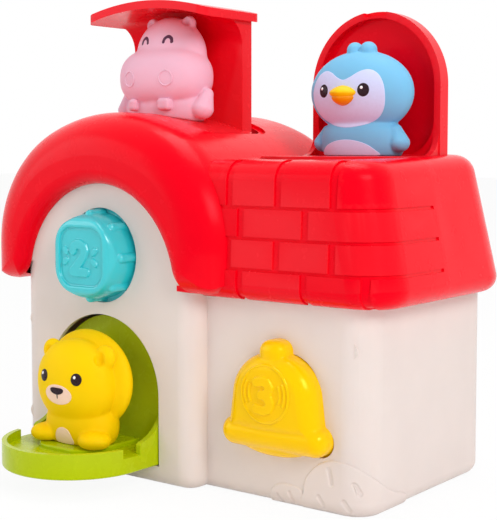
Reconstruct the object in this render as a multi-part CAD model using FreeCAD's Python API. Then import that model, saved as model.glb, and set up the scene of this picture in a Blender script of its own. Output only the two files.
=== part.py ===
import FreeCAD, Part
import math
import os

# Pop-up animal house for toddlers.
#
# A cream house in two moulded halves carries a red roof in two halves.  Three animals pop out:
#   a hippo on a spring lift through the tower roof   (released by the turning knob, number 2),
#   a penguin on a flap that turns up out of the wing (released by the bell button, number 3),
#   a lion on a tray that drops out of the doorway    (released by the slider on the side, number 1).
# Everything is modelled popped up, which is where the springs hold it.
#
# The modelling datum is the tower's axis (X = 0), the outside of the wing's front wall (Y = 0,
# +Y to the back) and the table (Z = 0).  save() moves the origin to the middle of the footprint.

V = FreeCAD.Vector
ALONG_X = V(1, 0, 0)
ALONG_Y = V(0, 1, 0)
ALONG_Z = V(0, 0, 1)

# ---------------------------------------------------------------- driving dimensions (mm)
# House walls
tower_width = 121.6
tower_step = 10.9            # the tower's front stands this far in front of the wing's front
wing_reach = 152.5           # tower axis to the wing's side wall
wing_depth = 115.6           # wing's front wall to the back wall
wall_top = 95.4
wall_tongue = 5.9            # walls reach this far up inside the roof
gable_root_z = 110.0         # the tower's front corners run on up to here behind the lip
wall = 2.4
corner_radius = 14.0
step_radius = 10.0
base_edge_radius = 6.5
wall_seam_y = 59.9           # where front and back shells meet
gable_radius = 52.1          # cream gable inside the roof's arch
gable_centre_z = 97.0
gable_lap = 3.0              # gable panel reaches this far behind the roof's lip
gable_flare = 15.0           # rounding of the lip's two feet

# Roof
skin = 2.6
roof_seam_y = 51.0
lip_overhang = 8.1           # roof stands this far in front of the tower and behind the back wall
lip_roundness = 22.0         # outer edge of the lips, down to the feet
lip_foot_roundness = 12.2
lip_inner_roundness = 7.0    # edge of the lips at the gable
lip_web = 5.2                # thickness of the lip's inner wall
vault_apex = 185.3
vault_half_width = 80.0
vault_top_radius = 100.0
vault_side_radius = 66.0
vault_foot_radius = 13.0
vault_bottom = 97.0
wing_roof_top = 164.0        # at its back edge
wing_roof_fall = 2.8         # the top slopes down this much to its front edge
wing_roof_root_x = 20.0      # hidden end inside the vault
wing_side_low, wing_side_high = 167.5, 154.0
wing_front_low, wing_front_high = -8.0, -5.0
wing_back_low, wing_back_high = 122.0, 115.0
wing_front_corner, wing_back_corner = 21.0, 29.0
wing_eave_roundness = 7.5
wing_ridge_roundness = 10.5

# Brick pattern on the wing roof
course_lines = (139.4, 124.9, 110.4)
course_groove = 1.6
brick_joint = 4.0
brick_depth = 0.8
joints_odd = (79.0, 107.0, 137.5)
joints_even = (86.0, 122.5)
joints_foot = (86.0, 122.5, 154.0)

# Hippo lift
lift_travel = 58.4
lid_half_width = 41.0
lid_front, lid_back = 21.5, 70.0
lid_thickness = 4.2
lid_arc = 150.0              # the lid is flatter than the vault under it
lid_corner = 5.0
lid_seat_depth = 1.5
lid_seat_margin = 4.2
hood_wall_front, hood_wall_back = 57.0, 65.0
hood_wall_half = 38.3
hood_fillet = 13.0
platform_thickness = 3.0
lift_gap = 0.6

# Penguin flap
flap_half_width = 38.3
flap_centre_x = 102.0
flap_front, flap_back = 86.0, 94.0
flap_pin_y, flap_pin_z = 90.5, 159.6
flap_apex = 237.0
flap_rim = 3.6
flap_dish = 4.6
flap_gap = 0.7
flap_platform_top = 163.0
flap_platform_thickness = 3.0
flap_knuckle_radius = 4.4

# Lion door and tray
door_half_width = 38.5
door_bottom = 9.6
door_arch_z = 44.0
door_gap = 0.7
pivot_y, pivot_z = -2.5, 18.4
tray_floor = 8.0             # the deck is thick, so that the rim stands only a little above it
tray_rim_height = 12.5
tray_rim = 2.4
panel_front = -4.4
panel_thickness = 2.2

# Controls
knob_z = 112.7
knob_radius = 21.0
knob_rib_reach = 23.5
knob_rib_radius = 2.0
knob_hole_radius = 24.2
knob_reach = 15.1            # knob face in front of the tower wall
bell_x = 105.0
bell_skirt_z = 33.0
bell_skirt_half = 29.2
bell_skirt_radius = 7.0
bell_body_half = 23.5
bell_shoulder_z = 71.7
bell_ball_z = 71.4
bell_foot_z = 34.4            # bottom of the bell behind its skirt
bell_ball_radius = 6.6
slider_y, slider_z = 24.0, 50.0
slider_travel = 8.0
slider_stem_half = 6.0
slider_stem_height = 10.0
slider_seat_y = 57.0
flap_arch_z = flap_apex - flap_half_width
flap_pin_radius = 1.5
flap_ears = ((60.0, 63.0), (141.0, 144.0))

# Running clearances
running = 0.05               # pin in a bore
sliding = 0.3                # stem or plate in a slot
show_gap = 0.6               # control in its hole in the wall
seat_gap = 0.2               # spring end to its seat

# ---------------------------------------------------------------- derived sizes
tower_half = tower_width / 2
slider_spring_x = 5.6 - tower_half
tower_front = -tower_step
wall_height = wall_top + wall_tongue
lip_front = tower_front - lip_overhang
lip_back = wing_depth + lip_overhang
tower_inside_front = tower_front + wall
footprint_mid_x = (wing_reach - tower_half) / 2
footprint_mid_y = (wing_depth + tower_front) / 2


# ---------------------------------------------------------------- drawing helpers
def box(x0, x1, y0, y1, z0, z1):
    return Part.makeBox(x1 - x0, y1 - y0, z1 - z0, V(x0, y0, z0))


def rod_x(x0, x1, y, z, radius):
    return Part.makeCylinder(radius, x1 - x0, V(x0, y, z), ALONG_X)


def rod_y(y0, y1, x, z, radius):
    return Part.makeCylinder(radius, y1 - y0, V(x, y0, z), ALONG_Y)


def rod_z(z0, z1, x, y, radius):
    return Part.makeCylinder(radius, z1 - z0, V(x, y, z0), ALONG_Z)


def ball(x, y, z, radius):
    return Part.makeSphere(radius, V(x, y, z))


def egg(x, y, z, half_x, half_y, half_z):
    """An ellipsoid, with its seam at the back."""
    sphere = Part.makeSphere(1.0)
    sphere.rotate(V(0, 0, 0), ALONG_Z, 90)
    matrix = FreeCAD.Matrix()
    matrix.scale(half_x, half_y, half_z)
    stretched = sphere.transformGeometry(matrix)
    stretched.translate(V(x, y, z))
    return stretched


def level(z):
    """Maps outline coordinates to a horizontal plane."""
    return lambda a, b: V(a, b, z)


def facing_front(y):
    """Maps outline coordinates (x, z) to an upright plane."""
    return lambda a, b: V(a, y, b)


def outline(corners, place):
    """A face with straight sides and rounded corners, from (a, b, radius) in order."""
    count = len(corners)
    starts, arcs, ends = [], [], []
    for i, (a, b, radius) in enumerate(corners):
        before = corners[i - 1]
        after = corners[(i + 1) % count]
        to_before = V(before[0] - a, before[1] - b, 0).normalize()
        to_after = V(after[0] - a, after[1] - b, 0).normalize()
        corner = V(a, b, 0)
        if radius <= 0:
            starts.append(corner)
            arcs.append(None)
            ends.append(corner)
            continue
        half_angle = to_before.getAngle(to_after) / 2
        setback = radius / math.tan(half_angle)
        middle = (to_before + to_after).normalize()
        nearest = corner + middle * (radius / math.sin(half_angle) - radius)
        starts.append(corner + to_before * setback)
        arcs.append(nearest)
        ends.append(corner + to_after * setback)
    edges = []
    for i in range(count):
        if arcs[i] is not None:
            points = [place(p.x, p.y) for p in (starts[i], arcs[i], ends[i])]
            edges.append(Part.Arc(*points).toShape())
        following = starts[(i + 1) % count]
        if (following - ends[i]).Length > 1e-6:
            edges.append(Part.makeLine(place(ends[i].x, ends[i].y), place(following.x, following.y)))
    return Part.Face(Part.Wire(edges))


def rectangle(a0, a1, b0, b1, radius, place):
    return outline([(a0, b0, radius), (a1, b0, radius), (a1, b1, radius), (a0, b1, radius)], place)


def arch(centre, half, bottom, arch_centre, place, foot_radius=0.0):
    """A doorway outline: straight sides from bottom to a half round about arch_centre."""
    sign = 1 if arch_centre > bottom else -1
    left, right = centre - half, centre + half
    r = foot_radius
    spring_left = place(left, arch_centre)
    spring_right = place(right, arch_centre)
    edges = [
        Part.Arc(spring_right, place(centre, arch_centre + sign * half), spring_left).toShape(),
        Part.makeLine(spring_left, place(left, bottom + sign * r)),
        Part.makeLine(place(left + r, bottom), place(right - r, bottom)),
        Part.makeLine(place(right, bottom + sign * r), spring_right),
    ]
    if r > 0:
        bulge = r * (1 - math.sqrt(0.5))
        middle = bottom + sign * bulge
        spring_foot = place(right, bottom + sign * r)
        left_foot = (place(left, bottom + sign * r), place(left + bulge, middle), place(left + r, bottom))
        right_foot = (place(right - r, bottom), place(right - bulge, middle), spring_foot)
        edges.insert(2, Part.Arc(*left_foot).toShape())
        edges.insert(4, Part.Arc(*right_foot).toShape())
    return Part.Face(Part.Wire(edges))


def coil(radius, wire, turns, length, start, axis):
    """A helical spring of round wire; its ends lie on the planes length apart."""
    pitch = (length - wire) / turns
    path = Part.makeHelix(pitch, length - wire, radius)
    profile = Part.Wire(Part.makeCircle(wire / 2, V(radius, 0, 0), V(0, radius * 2 * math.pi, pitch)))
    spring = Part.Wire(path).makePipeShell([profile], True, True)
    spring.translate(V(0, 0, wire / 2))
    spring.Placement = FreeCAD.Placement(start, FreeCAD.Rotation(ALONG_Z, axis)) * spring.Placement
    return spring


def joined(shapes):
    return shapes[0].multiFuse(shapes[1:]).removeSplitter()


def rounded(solid, radius, picks):
    """Fillets the edges whose centre of mass passes picks(point, edge)."""
    edges = [edge for edge in solid.Edges if picks(edge.CenterOfMass, edge)]
    return solid.makeFillet(radius, edges)


def save(name, shape):
    moved = shape.copy()
    moved.translate(V(-footprint_mid_x, -footprint_mid_y, 0))
    moved.exportStep("parts/" + name + ".step")


# ---------------------------------------------------------------- house walls
floor_thickness = 3.0
base_flange = 8.0            # width of the turned-in flange that the base plate sits in
base_lip = 2.0
post_radius = 4.2            # screw posts that join front and back halves
screw_radius = 1.5
screw_length = 14.0
screw_head_radius = 3.0
counterbore_radius = 3.3
screw_web = 3.0              # plastic under each screw head
case_posts = ((10.3 - tower_half, 26.0), (10.8 - tower_half, 76.0), (tower_half + 5.2, 12.0), (142.0, 12.0), (142.0, 76.0), (50.0, 86.0))
carrier_post_radius = 4.0
knob_posts = ((-27.0, 92.0), (27.0, 92.0), (-27.0, 132.0), (27.0, 132.0))
bell_stem_z = 53.4
bell_posts = ((69.5, bell_stem_z), (140.5, bell_stem_z), (117.5, 91.5))
knob_carrier_front = 6.0
bell_carrier_front = 14.0
carrier_thickness = 2.4
door_ear_inner, door_ear_outer = 39.0, 43.0
pivot_radius = 2.5


def wall_plan(inset, place):
    """The house's plan: a tower standing tower_step in front of the wing."""
    left, right, wing = -tower_half + inset, tower_half - inset, wing_reach - inset
    outer = corner_radius - inset
    return outline([
        (left, tower_front + inset, outer),
        (right, tower_front + inset, step_radius - inset),
        (right, inset, 0),
        (wing, inset, outer),
        (wing, wing_depth - inset, outer),
        (left, wing_depth - inset, outer),
    ], place)


def arch_opening(extra, y, depth):
    """The roof's arch, a half round that flares out into rounded feet, as a prism along Y."""
    z = gable_centre_z
    radius = gable_radius + extra
    flare = gable_flare - extra
    foot_x = math.sqrt((gable_radius + gable_flare) ** 2 - gable_flare ** 2)
    lean = math.atan2(gable_flare, foot_x)
    joint_x, joint_z = radius * math.cos(lean), z + radius * math.sin(lean)
    turn = (math.pi / 2 - lean) / 2
    mid_x = foot_x - flare * math.sin(turn)
    mid_z = z + gable_flare - flare * math.cos(turn)
    foot_z = z + extra
    low = z - 20
    place = facing_front(y)
    edges = [
        Part.Arc(place(joint_x, joint_z), place(0, z + radius), place(-joint_x, joint_z)).toShape(),
        Part.Arc(place(-joint_x, joint_z), place(-mid_x, mid_z), place(-foot_x, foot_z)).toShape(),
        Part.makeLine(place(-foot_x, foot_z), place(-foot_x, low)),
        Part.makeLine(place(-foot_x, low), place(foot_x, low)),
        Part.makeLine(place(foot_x, low), place(foot_x, foot_z)),
        Part.Arc(place(foot_x, foot_z), place(mid_x, mid_z), place(joint_x, joint_z)).toShape(),
    ]
    return Part.Face(Part.Wire(edges)).extrude(V(0, depth, 0))


def house_shell():
    outer = wall_plan(0, level(0)).extrude(V(0, 0, wall_height))
    outer = rounded(outer, base_edge_radius, lambda p, e: p.z < 0.01)
    tube = wall_plan(0, level(wall_top)).extrude(V(0, 0, gable_root_z - wall_top))
    tube = tube.cut(wall_plan(wall, level(wall_top - 1)).extrude(V(0, 0, 30)))
    front_corners = tube.common(box(-tower_half - 1, tower_half + 0.01, tower_front - 1, 3, wall_top, 200))
    back_corner = tube.common(box(-tower_half - 1, 57, wing_depth - corner_radius, 200, wall_top, 200))
    disc = rod_y(tower_front, wing_depth, 0, gable_centre_z, gable_radius + gable_lap)
    gables = [
        disc.common(box(-90, 90, tower_front, tower_front + wall, gable_root_z - 3, 200)),
        disc.common(box(-90, 90, wing_depth - wall, wing_depth, gable_root_z - 3, 200)),
    ]
    shell = outer.cut(wall_plan(wall, level(floor_thickness)).extrude(V(0, 0, wall_height)))
    shell = shell.cut(wall_plan(base_flange, level(-1)).extrude(V(0, 0, floor_thickness + 2)))
    return joined([shell, front_corners, back_corner] + gables + roof_catches() + base_hold_downs())


def roof_catches():
    """Nibs outside the tongue, over the roof's soffit, that hold the roof down."""
    top = wall_height - 0.1
    nib = 1.5
    catches = []
    for y in (25.0, 85.0):
        catches.append(box(wing_reach - 1, wing_reach + nib, y - 6, y + 6, wall_top + skin + 0.3, top))
        catches.append(box(-tower_half - nib, -tower_half + 1, y - 6, y + 6, vault_bottom + skin + 0.3, top))
    return catches


def base_hold_downs():
    """Ribs inside the walls over the base plate's lip."""
    low = floor_thickness + base_lip + seat_gap
    reach = 4.0
    inner_left, inner_back = -tower_half + wall, wing_depth - wall
    return [
        box(inner_left - 1, inner_left + reach, 12, 20, low, low + 3),
        box(100, 112, wall - 1, wall + reach, low, low + 3),
        box(-20, -8, inner_back - reach, inner_back + 1, low, low + 3),
        box(100, 112, inner_back - reach, inner_back + 1, low, low + 3),
    ]


def carrier_posts(posts, front, back):
    return [rod_y(front - wall / 2, back, x, z, carrier_post_radius) for x, z in posts]


def post_bores(posts, y0, y1, radius):
    return [rod_y(y0, y1, x, z, radius) for x, z in posts]


def slider_slot():
    """Slot in the left wall for the release slider's stem."""
    half = slider_stem_half + show_gap / 2
    left = -tower_half
    return box(left - 5, left + wall + 2, slider_y - half, slider_y + slider_travel + half,
               slider_z - slider_stem_height / 2 - sliding, slider_z + slider_stem_height / 2 + sliding)


def front_shell():
    shell = house_shell().cut(box(-200, 300, wall_seam_y, 300, -10, 300))
    added = []
    for x, z in case_posts:
        front = tower_inside_front if x < tower_half else wall
        added.append(rod_y(front - wall / 2, wall_seam_y, x, z, post_radius))
    added += carrier_posts(knob_posts, tower_inside_front, knob_carrier_front)
    added += carrier_posts(bell_posts, wall, bell_carrier_front)
    for side in (-1, 1):
        x0, x1 = sorted((side * door_ear_inner, side * door_ear_outer))
        added.append(box(x0, x1, tower_inside_front - 1, pivot_y + 4.2, pivot_z - 4.6, pivot_z + 4.6))
    added.append(box(-tower_half + 1, slider_spring_x + 3.2, slider_seat_y, slider_seat_y + 2.4,
                     slider_z - 4, slider_z + 6))
    shell = joined([shell] + added)
    cuts = post_bores(case_posts, wall_seam_y - screw_length + screw_web, wall_seam_y + 1, screw_radius)
    cuts += post_bores(knob_posts, knob_carrier_front - 10, knob_carrier_front + 1, screw_radius)
    cuts += post_bores(bell_posts, bell_carrier_front - 10, bell_carrier_front + 1, screw_radius)
    cuts.append(rod_x(-door_ear_outer - 1, door_ear_outer + 1, pivot_y, pivot_z, pivot_radius + running))
    doorway = arch(0, door_half_width, door_bottom, door_arch_z, facing_front(-50))
    cuts.append(doorway.extrude(V(0, 50 + tower_inside_front + 0.5, 0)))
    cuts.append(rod_y(-50, 0, 0, knob_z, knob_hole_radius))
    cuts += bell_prisms(show_gap, -30, wall + 0.2)
    cuts.append(slider_slot())
    return shell.cut(Part.makeCompound(cuts))


def back_shell():
    shell = house_shell().cut(box(-200, 300, -200, wall_seam_y, -10, 300))
    posts = [rod_y(wall_seam_y, wing_depth - wall / 2, x, z, post_radius) for x, z in case_posts]
    shell = joined([shell] + posts)
    cuts = post_bores(case_posts, wall_seam_y + screw_web, wing_depth + 1, counterbore_radius)
    cuts += post_bores(case_posts, wall_seam_y - 1, wall_seam_y + screw_web + 1, screw_radius + 0.2)
    return shell.cut(Part.makeCompound(cuts))


def base_plate():
    """A plate in the shells' bottom opening, with a lip that lies on their flange."""
    plate = wall_plan(base_flange + sliding, level(0)).extrude(V(0, 0, floor_thickness))
    lip = wall_plan(wall + sliding, level(floor_thickness)).extrude(V(0, 0, base_lip))
    return joined([plate, lip]).cut(Part.makeCompound(frame_screw_bores(0.0)))


def screw(x, z, y_head, length, head_length):
    """A cross-head screw along Y; its head lies behind y_head."""
    body = rod_y(y_head - length, y_head, x, z, screw_radius)
    body = body.fuse(rod_y(y_head, y_head + head_length, x, z, screw_head_radius))
    arm, half = screw_head_radius * 0.65, 0.45
    y0, y1 = y_head + head_length - 1, y_head + head_length + 1
    cross = [
        box(x - arm, x + arm, y0, y1, z - half, z + half),
        box(x - half, x + half, y0, y1, z - arm, z + arm),
    ]
    return body.cut(Part.makeCompound(cross))


def case_screws():
    y = wall_seam_y + screw_web
    return Part.makeCompound([screw(x, z, y, screw_length, 2.2) for x, z in case_posts])


# ---------------------------------------------------------------- roof
roof_posts = ((-52.0, 150.0), (52.0, 150.0), (148.5, 114.0))
roof_post_radius = 4.0
flap_ear_radius = 4.6


def edge_cutter(x, z, reach, r, y, inward):
    """What a round of radius r takes off a square edge, reach above (x, z) on an end face at y."""
    low, high = z + reach - r, z + reach + 3
    start, end = V(x, y + inward * r, z + reach), V(x, y, low)
    turn = r * math.sqrt(0.5)
    middle = V(x, y + inward * (r - turn), low + turn)
    out = [end, V(x, y - inward, low), V(x, y - inward, high), V(x, y + inward * r, high), start]
    edges = [Part.makeLine(out[i], out[i + 1]) for i in range(4)]
    edges.append(Part.Arc(start, middle, end).toShape())
    return Part.Face(Part.Wire(edges))


def turned_to(face, x, z, degrees):
    face.rotate(V(x, 0, z), ALONG_Y, degrees)
    return face


def turned(face, x, z, from_degrees, to_degrees):
    """A face revolved about the axis along Y through (x, z), clockwise as seen from the front."""
    return turned_to(face, x, z, from_degrees).revolve(V(x, 0, z), ALONG_Y, to_degrees - from_degrees)


def inner_edge_cutters(y, inward):
    """Rounds the lip's edge along the arch and its flared feet."""
    r = lip_inner_roundness
    z = gable_centre_z
    foot_x = math.sqrt((gable_radius + gable_flare) ** 2 - gable_flare ** 2)
    lean = math.degrees(math.atan2(gable_flare, foot_x))
    turn = r * math.sqrt(0.5)

    def face(x, centre_z, edge, outward):
        """Profile above (x, centre_z); outward is 1 where the plastic lies beyond the edge."""
        far = centre_z + edge + outward * r
        near = centre_z + edge - outward * 3
        start, end = V(x, y, far), V(x, y + inward * r, centre_z + edge)
        middle = V(x, y + inward * (r - turn), far - outward * turn)
        out = [end, V(x, y + inward * r, near), V(x, y - inward, near), V(x, y - inward, far), start]
        edges = [Part.makeLine(out[i], out[i + 1]) for i in range(4)]
        edges.append(Part.Arc(start, middle, end).toShape())
        return Part.Face(Part.Wire(edges))

    cutters = [turned(face(0, z, gable_radius, 1), 0, z, lean - 90, 90 - lean)]
    for side in (-1, 1):
        x, flare_z = side * foot_x, z + gable_flare
        from_deg, to_deg = sorted((side * (270 - lean), side * 100))
        cutters.append(turned(face(x, flare_z, gable_flare, -1), x, flare_z, from_deg, to_deg))
    return cutters


def vault(inset):
    """The tower's roof: a three-centred vault along Y with rounded ends."""
    r_top = vault_top_radius - inset
    r_side = vault_side_radius - inset
    r_foot = vault_foot_radius - inset
    top_z = vault_apex - vault_top_radius
    side_x = vault_half_width - vault_side_radius
    side_z = top_z + math.sqrt((vault_top_radius - vault_side_radius) ** 2 - side_x ** 2)
    lean = math.atan2(side_x, side_z - top_z)
    half = vault_half_width - inset
    foot_x = vault_half_width - vault_foot_radius
    foot_z = vault_bottom + vault_foot_radius
    low = vault_bottom + inset
    place = facing_front(lip_front + inset)

    def on(centre_x, centre_z, radius, angle):
        return place(centre_x + radius * math.sin(angle), centre_z + radius * math.cos(angle))

    mid = (lean + math.pi / 2) / 2
    top_right, top_left = on(0, top_z, r_top, lean), on(0, top_z, r_top, -lean)
    right, left = place(half, side_z), place(-half, side_z)
    right_low, left_low = place(half, foot_z), place(-half, foot_z)
    right_foot, left_foot = place(foot_x, low), place(-foot_x, low)
    eighth = math.radians(135)
    edges = [
        Part.Arc(top_left, on(0, top_z, r_top, 0), top_right).toShape(),
        Part.Arc(top_right, on(side_x, side_z, r_side, mid), right).toShape(),
        Part.makeLine(right, right_low),
        Part.Arc(right_low, on(foot_x, foot_z, r_foot, eighth), right_foot).toShape(),
        Part.makeLine(right_foot, left_foot),
        Part.Arc(left_foot, on(-foot_x, foot_z, r_foot, -eighth), left_low).toShape(),
        Part.makeLine(left_low, left),
        Part.Arc(left, on(-side_x, side_z, r_side, -mid), top_left).toShape(),
    ]
    prism = Part.Face(Part.Wire(edges)).extrude(V(0, lip_back - lip_front - 2 * inset, 0))
    ends = (lip_front + inset, lip_back - inset)
    foot_round = lip_foot_roundness - inset
    block = rounded(prism, foot_round, lambda p, e: min(abs(p.y - end) for end in ends) < 1e-3)
    r = lip_roundness - inset
    cutters = []
    for y, inward in ((ends[0], 1), (ends[1], -1)):
        over = math.degrees(lean) + 1
        cutters.append(turned(edge_cutter(0, top_z, r_top, r, y, inward), 0, top_z, -over, over))
        for side in (-1, 1):
            x = side * side_x
            from_deg, to_deg = sorted((side * math.degrees(lean), side * 90))
            cutters.append(turned(edge_cutter(x, side_z, r_side, r, y, inward), x, side_z, from_deg, to_deg))
            upright = turned_to(edge_cutter(x, side_z, r_side, r, y, inward), x, side_z, side * 90)
            upright.translate(V(0, 0, 1))
            cutters.append(upright.extrude(V(0, 0, low - side_z - 10)))
    for cutter in cutters:
        block = block.cut(cutter)
    return block


def wing_block(inset):
    """The wing's roof, tapering upwards; its root end is inside the vault."""
    rise = wing_roof_top - wall_top

    def ring(z, fall):
        t = (z - wall_top) / rise
        side = wing_side_low + (wing_side_high - wing_side_low) * t - inset
        front = wing_front_low + (wing_front_high - wing_front_low) * t + inset
        back = wing_back_low + (wing_back_high - wing_back_low) * t - inset
        corners = [
            (wing_roof_root_x, front, 0),
            (side, front, wing_front_corner - inset),
            (side, back, wing_back_corner - inset),
            (wing_roof_root_x, back, 0),
        ]

        def place(a, b):
            return V(a, b, z - fall * (wing_back_high - b) / (wing_back_high - wing_front_high))

        return outline(corners, place).OuterWire

    low, high = wall_top + inset, wing_roof_top - inset
    block = Part.makeLoft([ring(low, 0), ring(high, wing_roof_fall)], True, True)
    clear = wing_roof_root_x + 1
    block = rounded(block, wing_ridge_roundness - inset, lambda p, e: p.z > high - 10 and p.x > clear)
    return rounded(block, wing_eave_roundness - inset, lambda p, e: abs(p.z - low) < 1e-3 and p.x > clear)


def brick_grooves():
    """Mortar lines on the front half of the wing roof."""
    ring = wing_block(0).cut(wing_block(brick_depth))
    half = course_groove / 2
    y_end = roof_seam_y - 4
    tall = 60
    slabs = [box(40, 200, -30, y_end, z - half, z + half) for z in course_lines]
    rows = (
        (joints_odd, course_lines[0], course_lines[0] + tall),
        (joints_even, course_lines[1], course_lines[0]),
        (joints_odd, course_lines[2], course_lines[1]),
        (joints_foot, course_lines[2] - tall, course_lines[2]),
    )
    back = wing_front_high + wing_ridge_roundness
    for joints, z0, z1 in rows:
        for x in joints:
            slabs.append(box(x - brick_joint / 2, x + brick_joint / 2, -30, back, z0, z1))
    return ring.common(joined(slabs)).cut(vault(0))


def lid_outline(margin, z):
    half = lid_half_width + margin
    return rectangle(-half, half, lid_front - margin, lid_back + margin, lid_corner + margin, level(z))


def above(face, height=200):
    return face.extrude(V(0, 0, height))


def flap_opening(margin, z):
    half = flap_half_width + margin
    centre = flap_pin_y - (flap_arch_z - flap_pin_z)
    back = flap_pin_y + flap_knuckle_radius + margin - 0.2
    return arch(flap_centre_x, half, back, centre, level(z))


def corner_plates():
    """Plates that close the roof beside the house's rounded corners, behind the lips' left feet."""
    plates = []
    for y in (tower_front + corner_radius, wing_depth - corner_radius - skin):
        plate = box(-vault_half_width, -tower_half, y, y + skin, vault_bottom, gable_root_z + 5)
        plates.append(plate.common(vault(1.0)))
    return plates


def roof_whole():
    outer = vault(0).fuse(wing_block(0))
    inner = vault(skin).fuse(wing_block(skin))
    roof = outer.cut(inner)
    lift_prism = above(lid_outline(lid_seat_margin + 2, 150))
    lift_rim = vault(lid_seat_depth).cut(vault(lid_seat_depth + 3)).common(lift_prism)
    collar_depth = lip_overhang - 0.3
    collars = [
        arch_opening(lip_web, lip_front, collar_depth),
        arch_opening(lip_web, wing_depth + 0.3, collar_depth),
    ]
    collar = joined(collars).common(outer).common(box(-90, 90, -30, 130, vault_bottom, 200))
    roof = joined([roof, lift_rim, collar] + corner_plates())
    left = box(-90, 0, -40, 160, 0, 300)
    arch_cuts = [
        arch_opening(0, lip_front - 5, collar_depth + 5),
        arch_opening(0, wing_depth + 0.3, 30),
        arch_opening(0, lip_front - 5, 5 + lip_overhang + corner_radius).common(left),
        arch_opening(0, wing_depth - corner_radius, 45).common(left),
    ]
    hole = wall_plan(-0.3, level(80)).extrude(V(0, 0, gable_root_z - 80))
    seat = vault(0).cut(vault(lid_seat_depth)).common(above(lid_outline(lid_seat_margin, 150)))
    cuts = arch_cuts + [hole, seat, above(lid_outline(lift_gap, 150))]
    cuts += inner_edge_cutters(lip_front, 1) + inner_edge_cutters(lip_back, -1)
    cuts.append(above(flap_opening(flap_gap, 150), 30))
    cuts.append(brick_grooves())
    for shape in cuts:
        roof = roof.cut(shape)
    return roof


roof_shape = roof_whole()


def roof_post(x, z, y0, y1):
    post = rod_y(y0, y1, x, z, roof_post_radius)
    return post.common(vault(1.0).fuse(wing_block(1.0)))


def roof_front():
    half = roof_shape.common(box(-200, 300, -100, roof_seam_y, 0, 300))
    posts = [roof_post(x, z, lip_front, roof_seam_y) for x, z in roof_posts]
    half = joined([half] + posts)
    bores = post_bores(roof_posts, roof_seam_y - screw_length + screw_web, roof_seam_y + 1, screw_radius)
    return half.cut(Part.makeCompound(bores))


def roof_back():
    half = roof_shape.common(box(-200, 300, roof_seam_y, 300, 0, 300))
    posts = [roof_post(x, z, roof_seam_y, lip_back) for x, z in roof_posts]
    ears = []
    for x0, x1 in flap_ears:
        ear = rod_x(x0, x1, flap_pin_y, flap_pin_z - 1, flap_ear_radius)
        ear = ear.fuse(box(x0, x1, flap_pin_y - 4, flap_pin_y + 4, flap_pin_z, wing_roof_top - 1))
        ears.append(ear.common(wing_block(1.0)))
    half = joined([half] + posts + ears)
    cuts = post_bores(roof_posts, roof_seam_y + screw_web, 200, counterbore_radius)
    cuts += post_bores(roof_posts, roof_seam_y - 1, roof_seam_y + screw_web + 1, screw_radius + 0.2)
    cuts.append(rod_x(50, 146, flap_pin_y, flap_pin_z, flap_pin_radius))
    return half.cut(Part.makeCompound(cuts))


def roof_screws():
    y = roof_seam_y + screw_web
    return Part.makeCompound([screw(x, z, y, screw_length, 2.2) for x, z in roof_posts])


# ---------------------------------------------------------------- hippo lift
platform_drop = 1.6          # platform top under the roof's surface when down
spine_half, spine_front, spine_back = 12.0, 61.0, 65.0
spine_foot_z = 112.0
guide_y = 80.0
guide_radius = 3.0
bushing_radius = 6.0
arm_half = 5.0
frame_half, frame_front, frame_back = 24.0, 71.2, 73.6
frame_top = 165.0
frame_foot = 3.0
base_top = floor_thickness + base_lip
arm_top = spine_foot_z + 4.0
bushing_low, bushing_high = spine_foot_z - 4.0, spine_foot_z + 6.0
frame_screw_x = 12.0
frame_tab_z = 120.0
hippo_x = 1.0


def raised(shape):
    lifted = shape.copy()
    lifted.translate(V(0, 0, lift_travel))
    return lifted


def lift_platform():
    plan = rectangle(-lid_half_width, lid_half_width, lid_front, hood_wall_back, lid_corner, level(150))
    return vault(platform_drop).cut(vault(platform_drop + platform_thickness)).common(above(plan))


def lift_hood():
    """The lid that closes the roof, standing on its back wall, with a hollow curve between them."""
    inside = lid_arc - lid_thickness
    centre_z = vault_apex - lid_arc + lift_travel
    y0, y1 = lid_front - 1, lid_back + 1
    slab = rod_y(y0, y1, 0, centre_z, lid_arc).cut(rod_y(y0, y1, 0, centre_z, inside))
    lid = slab.common(above(lid_outline(0, 150)))
    r = hood_fillet
    start = V(0, hood_wall_front - r, centre_z + inside + 0.5)
    low = V(0, hood_wall_front + 0.5, centre_z + inside - r)
    high = V(0, hood_wall_front + 0.5, centre_z + inside + 0.5)
    web_points = [start, high, low, V(0, hood_wall_front, low.z)]
    turn = math.sqrt(0.5)
    bulge = V(0, hood_wall_front - r + r * turn, centre_z + inside - r + r * turn)
    tangent = V(0, hood_wall_front - r, centre_z + inside)
    edges = [Part.makeLine(web_points[i], web_points[i + 1]) for i in range(3)]
    edges.append(Part.Arc(web_points[3], bulge, tangent).toShape())
    edges.append(Part.makeLine(tangent, start))
    web = Part.Face(Part.Wire(edges))
    web_reach = math.degrees(math.asin((hood_wall_half + 10) / inside))
    web.rotate(V(0, 0, centre_z), ALONG_Y, -web_reach)
    web = web.revolve(V(0, 0, centre_z), ALONG_Y, 2 * web_reach)
    room = box(-hood_wall_half, hood_wall_half, hood_wall_front - r - 1, hood_wall_back, 150, 300)
    upright = box(-hood_wall_half, hood_wall_half, hood_wall_front, hood_wall_back, 150, 300)
    ceiling = rod_y(y0, y1, 0, centre_z, inside + 0.4)
    back_wall = upright.fuse(web.common(room)).common(ceiling).cut(vault(platform_drop))
    return joined([lid, back_wall])


def lift_carriage():
    spine = box(-spine_half, spine_half, spine_front, spine_back, spine_foot_z, 200)
    spine = spine.common(vault(platform_drop + platform_thickness))
    arm = box(-arm_half, arm_half, spine_back - 1, guide_y, spine_foot_z, arm_top)
    bushing = rod_z(bushing_low, bushing_high, 0, guide_y, bushing_radius)
    carriage = joined([spine, arm, bushing])
    return carriage.cut(rod_z(bushing_low - 1, bushing_high + 1, 0, guide_y, guide_radius + running))


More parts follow.
